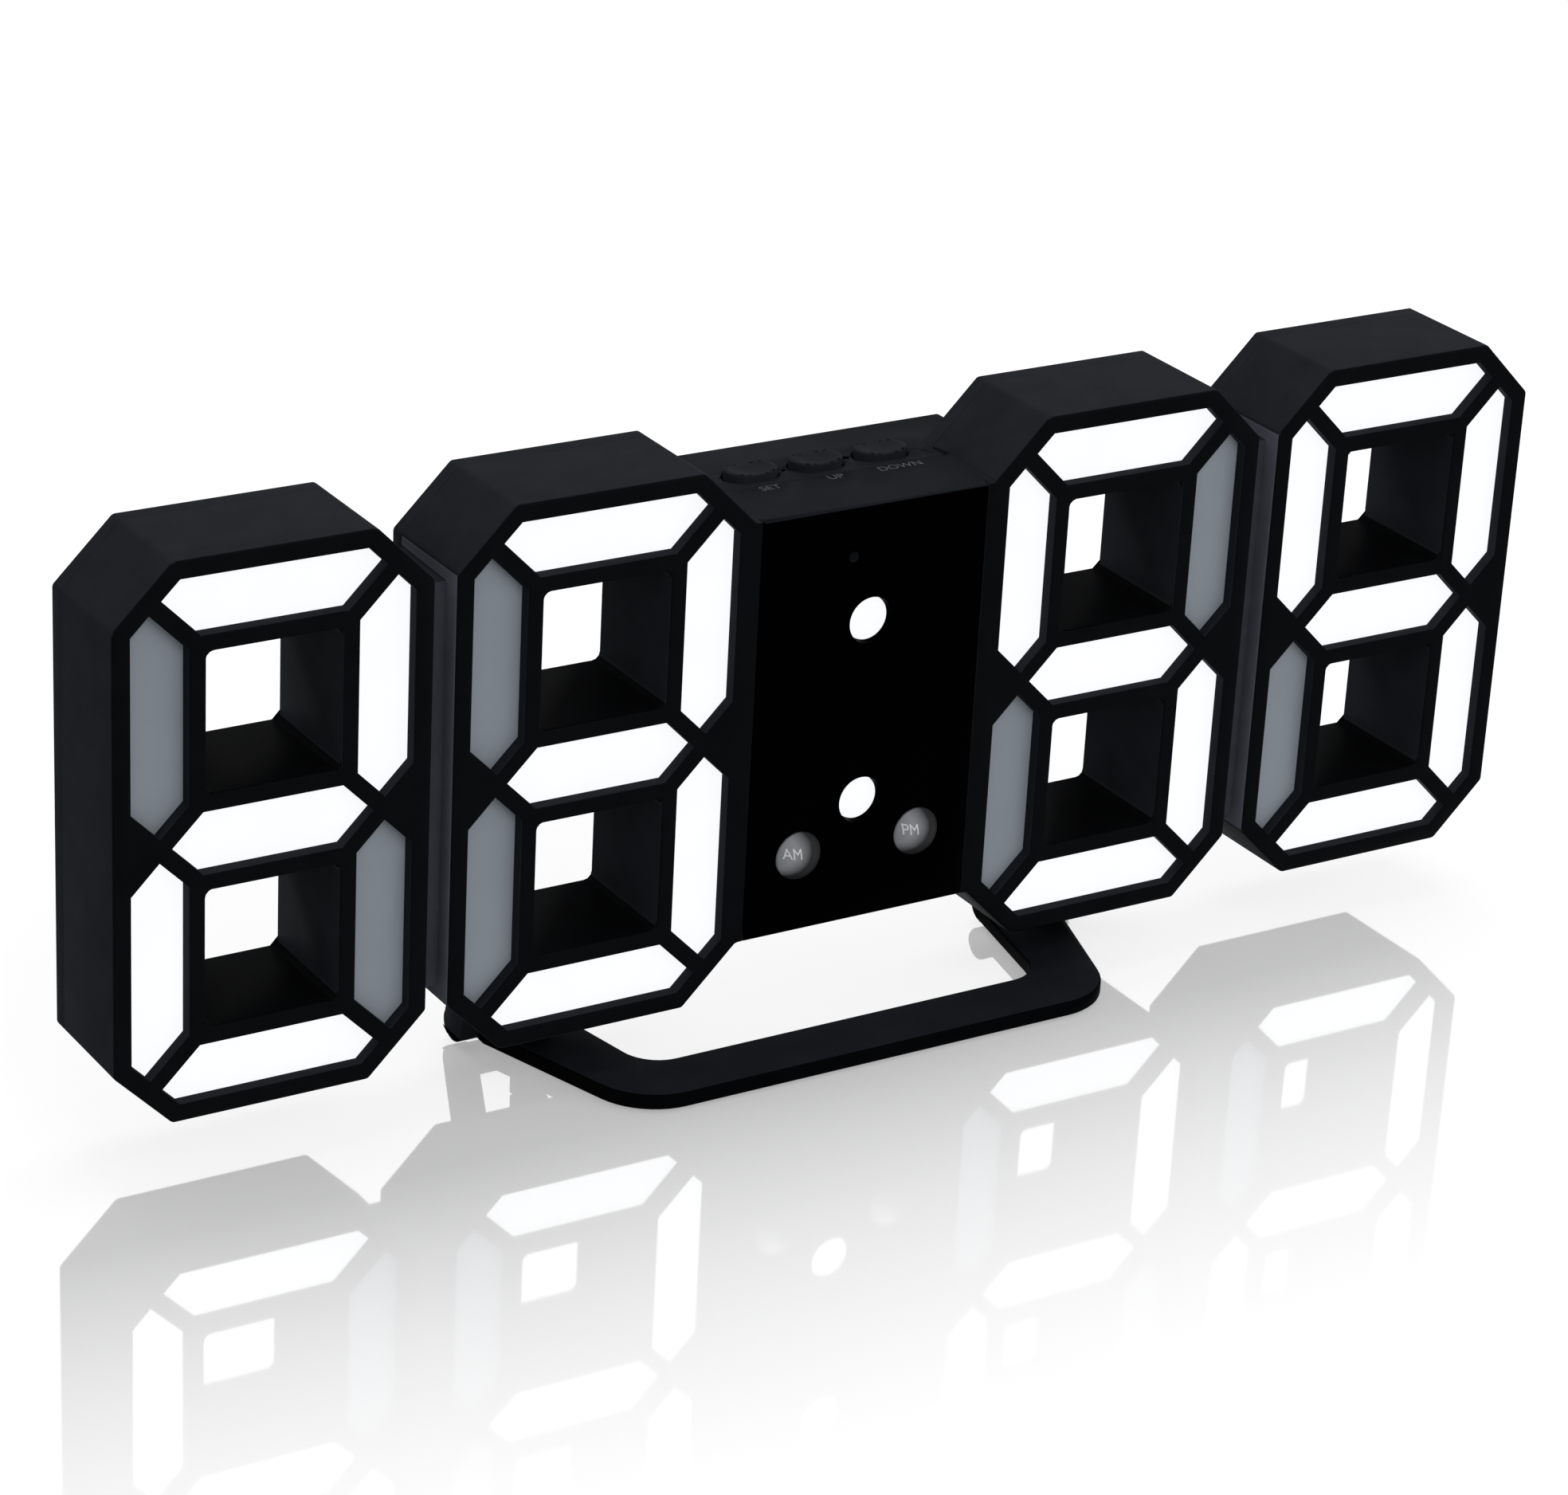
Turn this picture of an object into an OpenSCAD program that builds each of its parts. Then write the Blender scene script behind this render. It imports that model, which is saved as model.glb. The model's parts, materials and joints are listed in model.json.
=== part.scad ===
// Free-standing LED numeral clock: four open seven-segment digits, a centre bar with the colon,
// a rear housing with the electronics and a folding loop stand.
// +X is right as seen from the front, +Y is to the back, +Z is up, and the table is at Z = 0.

/* [Digits] */
// Width of one digit block
digit_w = 48.7; // [46:0.1:56]
// Height of one digit block
digit_h = 85; // [80:0.5:100]
// Gap between the two digits of a pair
digit_gap = 3.5; // [3.2:0.1:8]
// Corner chamfer of a digit block
digit_chamfer = 9; // [7:0.25:11]
// Depth of the digit blocks from front to back
body_d = 19.8; // [19.5:0.1:26]
// Thickness of the moulded walls
wall = 2; // [1.6:0.1:2.4]
// Thickness of the front face, which is also how deep the segments sit
face_t = 2; // [1.4:0.1:2.4]
// Depth of the groove between the two digits of a pair
groove_d = 3.3; // [2:0.1:5]
// How far the webs in the grooves end short of the chamfers
web_drop = 2; // [0:0.5:4]
// How far before the digits' back the front shell meets the rear cover
split_d = 2.8; // [2.4:0.1:3.2]

/* [Segments] */
// Border from the digit's edge to the outer edge of a segment
border = 2.8; // [2.2:0.1:3.2]
// Width of a segment
seg_w = 8.6; // [7.5:0.1:9.2]
// Height of the middle segment
mid_seg_h = 9.4; // [8:0.1:10]
// Rim between a segment and the window beside it
rim = 2.6; // [2.3:0.1:3.4]
// Ridge between two neighbouring segments
ridge = 2.6; // [2.2:0.1:3.2]
// Thickness of a segment lens
lens_t = 1.6; // [1.2:0.1:2]
// How far a segment lens reaches behind the front face all round
lens_lip = 0.5; // [0.3:0.05:0.7]
// Wall of the tube that lines a window
tube_wall = 1.2; // [1:0.05:1.4]

/* [Centre bar] */
// Width of the centre bar between the inner digits
bar_w = 41; // [40:0.2:60]
// Width of the glossy front panel
panel_w = 38.8; // [36.4:0.2:39.4]
// Thickness of the glossy front panel
panel_t = 1.5; // [1:0.1:1.8]
// Diameter of a colon lens
colon_d = 7; // [6:0.1:8]
// How deep the colon lenses sit behind the panel's face
colon_recess = 1.3; // [0.6:0.1:1.8]
// Height of the upper colon lens above the middle of the digits
colon_up = 15; // [13:0.5:17]
// Depth of the lower colon lens below the middle of the digits
colon_down = 14; // [12:0.5:15]
// Diameter of an indicator lens
pilot_d = 7.6; // [6:0.1:8]
// How far the domed indicator lenses stand out of the panel
pilot_dome = 2.2; // [1:0.1:2.4]
// Distance between the two indicator lenses
pilot_span = 20.8; // [18:0.2:22]
// Depth of the indicator lenses below the middle of the digits
pilot_down = 21.2; // [20:0.2:22]
// Diameter of the light sensor's tip
sensor_d = 1.8; // [1.2:0.1:2.4]
// Sideways place of the light sensor
sensor_x = -3.5; // [-6:0.5:6]
// Height of the light sensor above the middle of the digits
sensor_up = 25.5; // [24:0.5:26]

/* [Rear housing] */
// Width of the housing behind the centre bar
housing_w = 58; // [57:0.5:64]
// Depth of the housing behind the digits
housing_d = 10; // [9.8:0.1:14]
// Height of the housing down from the top of the bar
housing_h = 47.5; // [46.5:0.25:48]
// Distance between the two keyholes for wall screws
hang_span = 41; // [40:0.5:42]
// Height of the keyholes' round holes above the bottom of the housing
hang_up = 23; // [21:0.5:24]
// Diameter of the wall screw's head hole
hang_head_d = 8.4; // [7:0.1:9]
// Diameter of the wall screw's neck slot
hang_neck_d = 4.4; // [3.5:0.1:5]
// Length of the neck slot
hang_slot = 7; // [5:0.5:8]
// Width of the battery door at its outer face
door_w = 25; // [23.5:0.5:26]
// Height of the battery door
door_h = 26; // [25:0.5:27]
// Thickness of the battery door
door_t = 1.2; // [1:0.1:1.4]
// Bore of the power inlet
inlet_bore_d = 3.5; // [3:0.1:4]
// Diameter of the power inlet's centre pin
inlet_pin_d = 1.3; // [1:0.1:1.6]

/* [Buttons] */
// Length of a button cap
button_l = 8.6; // [7:0.1:9.6]
// Width of a button cap
button_w = 5; // [4:0.1:5.6]
// Distance between button centres
button_pitch = 11.3; // [11:0.1:12.5]
// How far before the digits' back the button row lies
button_d = 2.2; // [1.8:0.1:2.6]
// How far the button caps stand above the bar
button_up = 1.2; // [0.8:0.1:2]
// Travel of a button when it is pressed
button_travel = 0.6; // [0.3:0.1:0.7]

/* [Stand] */
// How far the stand reaches in front of the digits
stand_reach = 10.5; // [9:0.5:13]
// Thickness of the stand
stand_t = 2.6; // [2.2:0.1:3]
// Width of the stand's front bar
stand_bar = 10.4; // [8:0.2:11]
// Half width of the stand's outer edge at the digits' front
stand_half = 45.6; // [45.2:0.1:46.6]
// Half width of the stand's opening at the digits' front
stand_open = 35.3; // [34:0.1:37]
// Angle by which the outer edges spread to the back
stand_spread = 17.5; // [16:0.5:19]
// Angle by which the opening spreads to the back
open_spread = 10.8; // [8:0.2:11]
// Corner radius of the stand's outer edge
stand_r = 11; // [8:0.5:14]
// Corner radius of the stand's opening
open_r = 6; // [5:0.5:9]
// Clear height between the stand and the digits
stand_gap = 7.9; // [7.7:0.1:9]
// Diameter of a hinge pin
pin_d = 2.5; // [2:0.1:3]
// Radius of the stand's hinge barrel
barrel_r = 2.6; // [2.4:0.1:2.7]
// Thickness of a hinge lug
lug_t = 3.4; // [2.5:0.1:4.5]
// Diameter of a rubber pad
pad_d = 8; // [6:0.5:9]
// Thickness of a rubber pad
pad_t = 1; // [0.8:0.1:1.4]
// How far the pads stand below the stand
pad_proud = 0.4; // [0.3:0.05:0.5]

/* [Fits] */
// Clearance between pieces that are fixed together
fit_gap = 0.15; // [0.1:0.05:0.25]
// Clearance between pieces that move past each other
run_gap = 0.3; // [0.25:0.05:0.4]
// Radial clearance of a hinge pin in the stand's barrel
pin_run = 0.06; // [0.03:0.01:0.09]
// Radial clearance of pins and screws in their fixed holes
pin_fit = 0.02; // [0.01:0.01:0.05]

/* [Hidden] */

$fn = 64;
eps = 0.05;
root2 = sqrt(2);

// Overall places
bar_half = bar_w / 2;
bar_top = digit_h / 2 - digit_chamfer;
inner_x = bar_half + digit_w / 2;
outer_x = inner_x + digit_w + digit_gap;
centres = [-outer_x, -inner_x, inner_x, outer_x];
web_x = inner_x + (digit_w + digit_gap) / 2;
web_top = bar_top - web_drop;
shell_d = body_d - split_d;
back_d = body_d + housing_d;
front_y = (stand_reach - back_d) / 2;
foot_z = pad_proud;
stand_top = foot_z + stand_t;
mid_z = stand_top + stand_gap + digit_h / 2;
digit_bottom = -digit_h / 2;

// Segment outlines
seg_x1 = digit_w / 2 - border;
seg_x0 = seg_x1 - seg_w;
seg_z1 = digit_h / 2 - border;
seg_z0 = seg_z1 - seg_w;
seg_node = (seg_x0 + seg_x1) / 2;
seg_cut = ridge * root2 / 2;
seg_corner = digit_w / 2 + digit_h / 2 - digit_chamfer - border * root2;
mid_half = mid_seg_h / 2;

// Windows
win_half = seg_x0 - rim;
win_low = mid_half + rim;
win_high = seg_z0 - rim;
win_mid = (win_low + win_high) / 2;

// Lit and dark segments of the time 23:59
LIT = ["abged", "abgcd", "afgcd", "abcdfg"];
DARK = ["fc", "fe", "be", "e"];

// Boards and what stands between them
bar_back = panel_t + wall;
flange_d = bar_back + wall;
lens_flange = 1;
sensor_set = 0.2;
lead_r = 0.25;
lead_half = 0.7;
reflector_d = face_t + lens_t;
board_t = 1.6;
board_set = 7.2;
board_d = body_d - board_set;
board_back = board_d + board_t;
board_gap = 0.5;
web_board_half = 18;
bar_board_low = -22;
bar_board_high = 28;
led_t = 0.8;
led_w = 2.8;
led_l = 3.5;
led_step = 6;

// Rear housing
housing_low = bar_top - housing_h;
housing_floor = housing_low + wall;
housing_half = housing_w / 2;
tongue_l = 4;
tongue_d = shell_d - tongue_l;
control_d = body_d + 1.4;
control_back = control_d + board_t;
control_half = housing_half - wall - 1;
control_low = housing_floor + 0.5;
button_drop = 11.1;
button_board_z = bar_top - button_drop;
link_h = 2.4;
control_high = button_board_z - link_h;
inside_back = back_d - wall;
button_board_front = board_back + 0.6;
button_board_back = inside_back - fit_gap;
ledge_w = 2.6;
ledge_t = 1.4;
door_low = housing_low;
door_slope = 0.8;
door_top = door_low + door_h;
grip_l = 12;
grip_w = 0.9;
grip_deep = 0.4;
grip_step = 2;
grip_low = 4;

// Parts on the control board, as width, height and how far they stand out
chip = [10, 10, 1.6];
chip_at = [0, housing_floor + 19];
clock_chip_size = [5, 4, 1.5];
clock_chip_at = [-12, housing_floor + 18];
thermistor = [4, 3, 3];
thermistor_at = [-20, housing_floor + 3];
crystal_r = 1.6;
crystal_l = 8;
crystal_at = [-20, housing_floor + 11];
capacitor_r = 2.5;
capacitor_h = 5.5;
capacitor_at = [18, housing_floor + 20];
header_l = 20;
header_h = 2.6;
header_z = housing_floor + 6;
link_l = 8;
cell_r = 10;
cell_t = 3.2;
holder_floor = 1;
holder_rim = 1.8;
holder_r = cell_r + 1.7;
cell_z = housing_floor + fit_gap + holder_r;
cell_d = control_back + holder_floor;
contact_t = 0.4;
contact_w = 4;
buzzer_r = 5.4;
buzzer_h = 4.2;
buzzer_at = [-20.4, housing_floor + 9];
port_r = 0.9;
port_ring = 2.6;
inlet_z = housing_floor + 7;
inlet_body = [9, 4.6, 6];
inlet_nose_r = inlet_bore_d / 2 + 0.4;
inlet_floor = 1.5;
inlet_d = control_back + inlet_body[1] / 2;

// Screws
screw_r = 1.1;
screw_head_r = 2.1;
screw_head_t = 1.1;
cover_screw_l = 11;
board_screw_l = 5;
boss_r = 2.7;
small_boss_r = 2.3;
web_screw_z = 24;
bar_screw = [16, 6.5 - bar_top];
board_screw = [17.5, 15];
control_screw_low = [15, housing_floor + 3];
control_screw_high = [12, control_high - 2.5];
control_screws = [for (p = [control_screw_low, control_screw_high], s = [-1, 1]) [s * p[0], p[1]]];
cover_points = concat(
    [for (sx = [-1, 1], sz = [-1, 1]) [sx * web_x, sz * web_screw_z]],
    [for (sx = [-1, 1]) [sx * bar_screw[0], bar_screw[1]]]
);
board_points = [for (sx = [-1, 1], sz = [-1, 1]) [sx * board_screw[0], sz * board_screw[1]]];
cover_head_d = body_d - 0.2;
slot_l = 2.4;
slot_w = 0.5;

// Buttons
button_row = body_d - button_d;
flange_t = 1;
flange_w = 0.9;
dish_r = 14;
dish_depth = 0.45;
switch_w = 6;
switch_h = 3.5;
plunger_r = 1.6;
plunger_h = 0.7;
button_foot = bar_top - wall - run_gap;
button_seat = button_board_z + board_t + switch_h + plunger_h;

// Stand hinge: folded back, the pads lie a running gap behind the digits
hinge_up = foot_z + barrel_r + run_gap;
hinge_d = body_d + run_gap + hinge_up;
hinge_z = hinge_up - mid_z;
arm_straight = 3;
arm_straight_d = hinge_d - arm_straight;
arm_limit = stand_half + tan(stand_spread) * arm_straight_d;
lug_x = arm_limit + run_gap;
lug_r = barrel_r + 0.2;
lug_h = 8;
pin_cap = 0.6;
barrel_x = stand_open + tan(open_spread) * hinge_d;
post_l = 3;
post_d = shell_d - post_l;
post_x = 44;
post_w = 5;
post_h = stand_gap / 2;
pad_front = [30, -stand_reach + stand_bar / 2];
pad_set = 4.2;
pad_rear = [45.3, hinge_d - pad_set];

// Carries a flat outline in X and Z between two depths behind the front face
module slab(d0, d1) {
    translate([0, front_y + d1, mid_z])
        rotate([90, 0, 0])
            linear_extrude(height = d1 - d0)
                children();
}

// Carries a flat outline in depth and Z between two places along X
module across(x0, x1) {
    translate([x0, front_y, mid_z])
        rotate([90, 0, 90])
            linear_extrude(height = x1 - x0)
                children();
}

// Carries a flat outline in X and depth between two heights above the digits' middle
module level(z0, z1) {
    translate([0, front_y, mid_z + z0])
        linear_extrude(height = z1 - z0)
            children();
}

module both_sides() {
    children();
    mirror([1, 0, 0]) children();
}

// Octagon of a digit block, drawn in by t on every side
module octagon(t = 0) {
    w = digit_w / 2 - t;
    h = digit_h / 2 - t;
    c = digit_chamfer - t * (2 - root2);
    polygon([
        [-w, -h + c], [-w + c, -h], [w - c, -h], [w, -h + c],
        [w, h - c], [w - c, h], [-w + c, h], [-w, h - c]
    ]);
}

module box2d(x0, x1, z0, z1) {
    translate([x0, z0]) square([x1 - x0, z1 - z0]);
}

module each_digit() {
    for (cx = centres) translate([cx, 0]) children();
}

module each_window() {
    for (cx = centres, s = [-1, 1]) translate([cx, s * win_mid]) children();
}

module window2d(t = 0) {
    square([2 * (win_half + t), win_high - win_low + 2 * t], center = true);
}

module bar2d() {
    square([bar_w, 2 * bar_top], center = true);
}

module webs2d() {
    for (s = [-1, 1])
        translate([s * web_x, 0]) square([digit_gap + 2 * wall, 2 * web_top], center = true);
}

// Room inside the walls, open from digit to digit behind the webs and the bar
module bar_room2d() {
    square([bar_w + 2 * wall + eps, 2 * (bar_top - wall)], center = true);
}

module web_room2d() {
    for (s = [-1, 1])
        translate([s * web_x, 0])
            square([digit_gap + 2 * wall + eps, 2 * (web_top - wall)], center = true);
}

// Outlines of the seven segments of one digit, grown by g on every side
function seg_top(g) =
    let (k = seg_x0 - seg_z0 - seg_cut + g * root2,
         corner = seg_corner + g * root2,
         low = seg_z0 - g,
         high = seg_z1 + g,
         half = [[low + k, low], [(corner + k) / 2, (corner - k) / 2], [corner - high, high]])
    concat(half, [for (i = [2:-1:0]) [-half[i][0], half[i][1]]]);

function seg_side(g) =
    let (k = seg_x0 - seg_z0 + seg_cut - g * root2,
         corner = seg_corner + g * root2,
         x0 = seg_x0 - g,
         x1 = seg_x1 + g,
         m = seg_node + seg_cut - g * root2,
         n = seg_node - seg_cut + g * root2)
    [[x0, x0 - k], [(corner + k) / 2, (corner - k) / 2], [x1, corner - x1],
     [x1, x1 - n], [(m + n) / 2, (m - n) / 2], [x0, m - x0]];

function seg_mid(g) =
    let (tip = seg_node - seg_cut + g * root2, h = mid_half + g)
    [[tip, 0], [tip - h, h], [h - tip, h], [-tip, 0], [h - tip, -h], [tip - h, -h]];

module segment2d(name, g = 0) {
    if (name == "a") polygon(seg_top(g));
    if (name == "b") polygon(seg_side(g));
    if (name == "c") mirror([0, 1]) polygon(seg_side(g));
    if (name == "d") mirror([0, 1]) polygon(seg_top(g));
    if (name == "e") rotate(180) polygon(seg_side(g));
    if (name == "f") mirror([1, 0]) polygon(seg_side(g));
    if (name == "g") polygon(seg_mid(g));
}

module segments2d(names, g = 0) {
    for (name = names) segment2d(name, g);
}

// Holes through the bar's front for the colon, the indicators and the sensor
module colon_places() {
    for (z = [colon_up, -colon_down]) translate([0, z]) children();
}

module front_holes2d(t) {
    colon_places() circle(colon_d / 2 + t);
    for (s = [-1, 1]) translate([s * pilot_span / 2, -pilot_down]) circle(pilot_d / 2 + t);
    translate([sensor_x, sensor_up]) circle(sensor_d / 2 + t);
}

module at_points(points) {
    for (p = points) translate(p) children();
}

module oval2d(l, w) {
    square([l - w, w], center = true);
    for (s = [-1, 1]) translate([s * (l - w) / 2, 0]) circle(w / 2);
}

module front_shell() color("#16181b") {
    difference() {
        union() {
            slab(0, shell_d) {
                each_digit() octagon();
                bar2d();
            }
            slab(groove_d, shell_d) webs2d();
            both_sides() rest_boss();
        }
        slab(face_t, shell_d + eps) each_digit() octagon(wall);
        slab(bar_back, shell_d + eps) bar_room2d();
        slab(groove_d + wall, shell_d + eps) web_room2d();
        slab(-eps, panel_t) square([panel_w + 2 * fit_gap, 2 * bar_top + eps], center = true);
        slab(-eps, face_t + eps) each_digit() segments2d("abcdefg");
        slab(-eps, face_t + eps) each_window() window2d();
        slab(-eps, bar_back + eps) front_holes2d(fit_gap);
        slab(tongue_d, shell_d + eps) box2d(-bar_half, bar_half, bar_top - wall - eps, bar_top + eps);
    }
    slab(face_t / 2, body_d) each_window() difference() {
        window2d(tube_wall);
        window2d();
    }
    difference() {
        slab(groove_d + wall / 2, body_d - wall)
            at_points([for (p = cover_points) if (abs(p[0]) > bar_half) p]) circle(boss_r);
        slab(groove_d + wall, body_d) at_points(cover_points) circle(screw_r + pin_fit);
    }
    difference() {
        union() {
            slab(bar_back - wall / 2, body_d - wall)
                at_points([for (p = cover_points) if (abs(p[0]) < bar_half) p]) circle(boss_r);
            slab(bar_back - wall / 2, board_d) at_points(board_points) circle(small_boss_r);
        }
        slab(bar_back, body_d) at_points(concat(cover_points, board_points)) circle(screw_r + pin_fit);
    }
}

// Foot under each inner digit that the stand's post stops against
module rest_boss() {
    level(digit_bottom - stand_gap + post_h + fit_gap, digit_bottom + wall / 2)
        box2d(post_x, post_x + post_w, post_d, post_d + post_l - fit_gap);
}

module hinge_lug2d() {
    polygon([
        [shell_d + fit_gap, digit_bottom + wall / 2],
        [body_d - wall / 2, digit_bottom + lug_h],
        [body_d + wall / 2, digit_bottom + lug_h],
        [hinge_d + lug_r, hinge_z],
        [hinge_d - lug_r, hinge_z]
    ]);
    translate([hinge_d, hinge_z]) circle(lug_r);
}

module keyhole2d() {
    circle(hang_head_d / 2);
    translate([0, hang_slot]) circle(hang_neck_d / 2);
    translate([-hang_neck_d / 2, 0]) square([hang_neck_d, hang_slot]);
}

module door2d(t) {
    polygon([
        [-door_w / 2 - door_slope - t, back_d - door_t - t],
        [door_w / 2 + door_slope + t, back_d - door_t - t],
        [door_w / 2 + t, back_d],
        [-door_w / 2 - t, back_d]
    ]);
}

module button_places() {
    for (i = [-1:1]) translate([i * button_pitch, button_row]) children();
}

module rear_cover() color("#16181b") {
    difference() {
        union() {
            slab(shell_d, body_d) {
                each_digit() octagon();
                bar2d();
                webs2d();
            }
            slab(body_d - wall, back_d) box2d(-housing_half, housing_half, housing_low, bar_top);
            slab(tongue_d + fit_gap, shell_d + eps)
                box2d(-bar_half + fit_gap, bar_half - fit_gap, bar_top - wall, bar_top);
            both_sides() across(lug_x, lug_x + lug_t) hinge_lug2d();
        }
        slab(shell_d - eps, body_d - wall) {
            each_digit() octagon(wall);
            bar_room2d();
            web_room2d();
        }
        slab(shell_d - eps, inside_back)
            box2d(-housing_half + wall, housing_half - wall, housing_low + wall, bar_top - wall);
        slab(shell_d - eps, body_d + eps) each_window() window2d(tube_wall + fit_gap);
        slab(shell_d, body_d + eps) at_points(cover_points) circle(screw_r + fit_gap);
        slab(cover_head_d - screw_head_t - fit_gap, body_d + eps)
            at_points(cover_points) circle(screw_head_r + fit_gap);
        level(bar_top - wall - eps, bar_top + eps)
            button_places() oval2d(button_l + 2 * run_gap, button_w + 2 * run_gap);
        slab(inside_back - eps, back_d + eps)
            for (s = [-1, 1]) translate([s * hang_span / 2, housing_low + hang_up]) keyhole2d();
        level(door_low - eps, door_top + run_gap) door2d(run_gap);
        slab(inside_back - eps, back_d - door_t) box2d(-cell_r, cell_r, control_low, cell_z + cell_r);
        slab(inside_back - eps, back_d + eps) translate(buzzer_at) sound_holes2d();
        across(housing_half - wall - eps, housing_half + eps)
            translate([inlet_d, inlet_z]) circle(inlet_nose_r + fit_gap);
        both_sides() across(lug_x - eps, lug_x + lug_t - pin_cap)
            translate([hinge_d, hinge_z]) circle(pin_d / 2 + pin_fit);
    }
    difference() {
        slab(control_back, inside_back + eps) at_points(control_screws) circle(small_boss_r);
        slab(control_back - eps, inside_back) at_points(control_screws) circle(screw_r + pin_fit);
    }
    both_sides() {
        ledge(button_board_z - ledge_t, button_board_z);
        ledge(button_board_z + board_t, button_board_z + board_t + ledge_t);
    }
}

// Rail inside the housing that holds an edge of the button board
module ledge(z0, z1) {
    level(z0, z1) box2d(housing_half - wall - ledge_w, housing_half - wall + eps, body_d, inside_back + eps);
}

module sound_holes2d() {
    circle(port_r);
    for (a = [0:60:300]) rotate(a) translate([port_ring, 0]) circle(port_r);
}

module centre_panel() color("#050506") difference() {
    slab(0, panel_t) square([panel_w, 2 * bar_top], center = true);
    slab(-eps, panel_t + eps) front_holes2d(fit_gap);
}

// Segment lenses behind the front face of digit k
module lenses(k, names) {
    slab(face_t, face_t + lens_t) translate([centres[k], 0]) segments2d(names, lens_lip);
}

module lit_lenses(k) color("#fdfdff") lenses(k, LIT[k]);

module dark_lenses(k) color("#7a8088") lenses(k, DARK[k]);

module colon_lenses() color("#fdfdff") {
    slab(colon_recess, flange_d) colon_places() circle(colon_d / 2);
    slab(bar_back, flange_d) colon_places() circle(colon_d / 2 + lens_flange);
}

// Domed indicator lens on side s of the colon: a round rod whose front end is cut by a ball
module pilot_lens(s) {
    r = pilot_d / 2;
    dome_r = (r * r + pilot_dome * pilot_dome) / (2 * pilot_dome);
    translate([s * pilot_span / 2, 0, -pilot_down]) {
        intersection() {
            slab(-pilot_dome - eps, flange_d) circle(r);
            translate([0, front_y - pilot_dome + dome_r, mid_z]) sphere(dome_r);
        }
        slab(bar_back, flange_d) circle(r + lens_flange);
    }
}

module am_lens() color("#4c5055") pilot_lens(-1);

module pm_lens() color("#4c5055") pilot_lens(1);

module light_sensor() color("#30343a") translate([sensor_x, 0, sensor_up]) {
    slab(sensor_set, flange_d) circle(sensor_d / 2);
    slab(bar_back, flange_d) circle(sensor_d / 2 + lens_flange);
    for (s = [-1, 1]) slab(flange_d - eps, board_d) translate([s * lead_half, 0]) circle(lead_r);
}

// White light box of digit k, with a cell behind each segment
module reflector(k) color("#e8e8e4") slab(reflector_d, board_d) translate([centres[k], 0]) difference() {
    octagon(wall + fit_gap);
    for (s = [-1, 1]) translate([0, s * win_mid]) window2d(tube_wall + fit_gap);
    segments2d("abcdefg");
}

module main_board() color("#14301f") slab(board_d, board_back) difference() {
    union() {
        each_digit() octagon(wall + board_gap);
        square([2 * outer_x, 2 * web_board_half], center = true);
        box2d(-bar_half - wall, bar_half + wall, bar_board_low, bar_board_high);
    }
    each_window() window2d(tube_wall + board_gap);
    at_points(board_points) circle(screw_r + fit_gap);
}

module led2d() {
    square([led_w, led_l], center = true);
}

// Two lamps behind every segment
module segment_leds() color("#f2e6a0") slab(board_d - led_t, board_d) each_digit() {
    for (z = [-1, 0, 1], s = [-1, 1])
        translate([s * led_step, z * (seg_z0 + seg_z1) / 2]) led2d();
    for (sx = [-1, 1], sz = [-1, 1], s = [-1, 1])
        translate([sx * seg_node, sz * win_mid + s * led_step]) led2d();
}

module indicator_leds() color("#f2e6a0") slab(board_d - led_t, board_d) {
    colon_places() led2d();
    for (s = [-1, 1]) translate([s * pilot_span / 2, -pilot_down + led_l / 2]) led2d();
}

module board_headers() color("#1b1b1d") {
    slab(board_back, control_d) translate([0, header_z]) square([header_l, header_h], center = true);
    slab(control_d, control_back) box2d(-link_l / 2, link_l / 2, control_high, button_board_z);
}

module control_board() color("#14301f") slab(control_d, control_back) difference() {
    box2d(-control_half, control_half, control_low, control_high);
    at_points(control_screws) circle(screw_r + fit_gap);
}

// A boxed part that stands on the front of the control board
module on_control(size, place) {
    slab(control_d - size[2], control_d) translate(place) square([size[0], size[1]], center = true);
}

module microcontroller() color("#202124") on_control(chip, chip_at);

module clock_chip() color("#202124") on_control(clock_chip_size, clock_chip_at);

// Round can that lies upright against the board
module clock_crystal() color("#b9bcc0") {
    translate([crystal_at[0], front_y + control_d - crystal_r, mid_z + crystal_at[1]])
        cylinder(h = crystal_l, r = crystal_r);
}

module smoothing_capacitor() color("#3a3f48") {
    slab(control_d - capacitor_h, control_d) translate(capacitor_at) circle(capacitor_r);
}

module temperature_sensor() color("#202124") on_control(thermistor, thermistor_at);

module buzzer() color("#1b1b1d") difference() {
    slab(control_back, control_back + buzzer_h) translate(buzzer_at) circle(buzzer_r);
    slab(control_back + buzzer_h / 2, control_back + buzzer_h + eps) translate(buzzer_at) circle(port_r);
}

module cell_holder() color("#2a2c30") translate([0, 0, cell_z]) {
    slab(control_back, cell_d) circle(holder_r);
    slab(cell_d - eps, cell_d + holder_rim) difference() {
        circle(holder_r);
        circle(cell_r + fit_gap);
    }
}

module coin_cell() color("#c9ccd1") translate([0, 0, cell_z]) {
    slab(cell_d, cell_d + cell_t) circle(cell_r);
}

// Spring strip over the coin cell, with a leg at each side down to the board
module cell_contact() color("#c2a45a") translate([0, 0, cell_z]) {
    strip_d = cell_d + cell_t;
    leg_x = holder_r + fit_gap;
    end_x = leg_x + contact_t;
    slab(strip_d, strip_d + contact_t) square([2 * end_x, contact_w], center = true);
    both_sides() slab(control_back, strip_d + contact_t) box2d(leg_x, end_x, -contact_w / 2, contact_w / 2);
}

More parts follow.
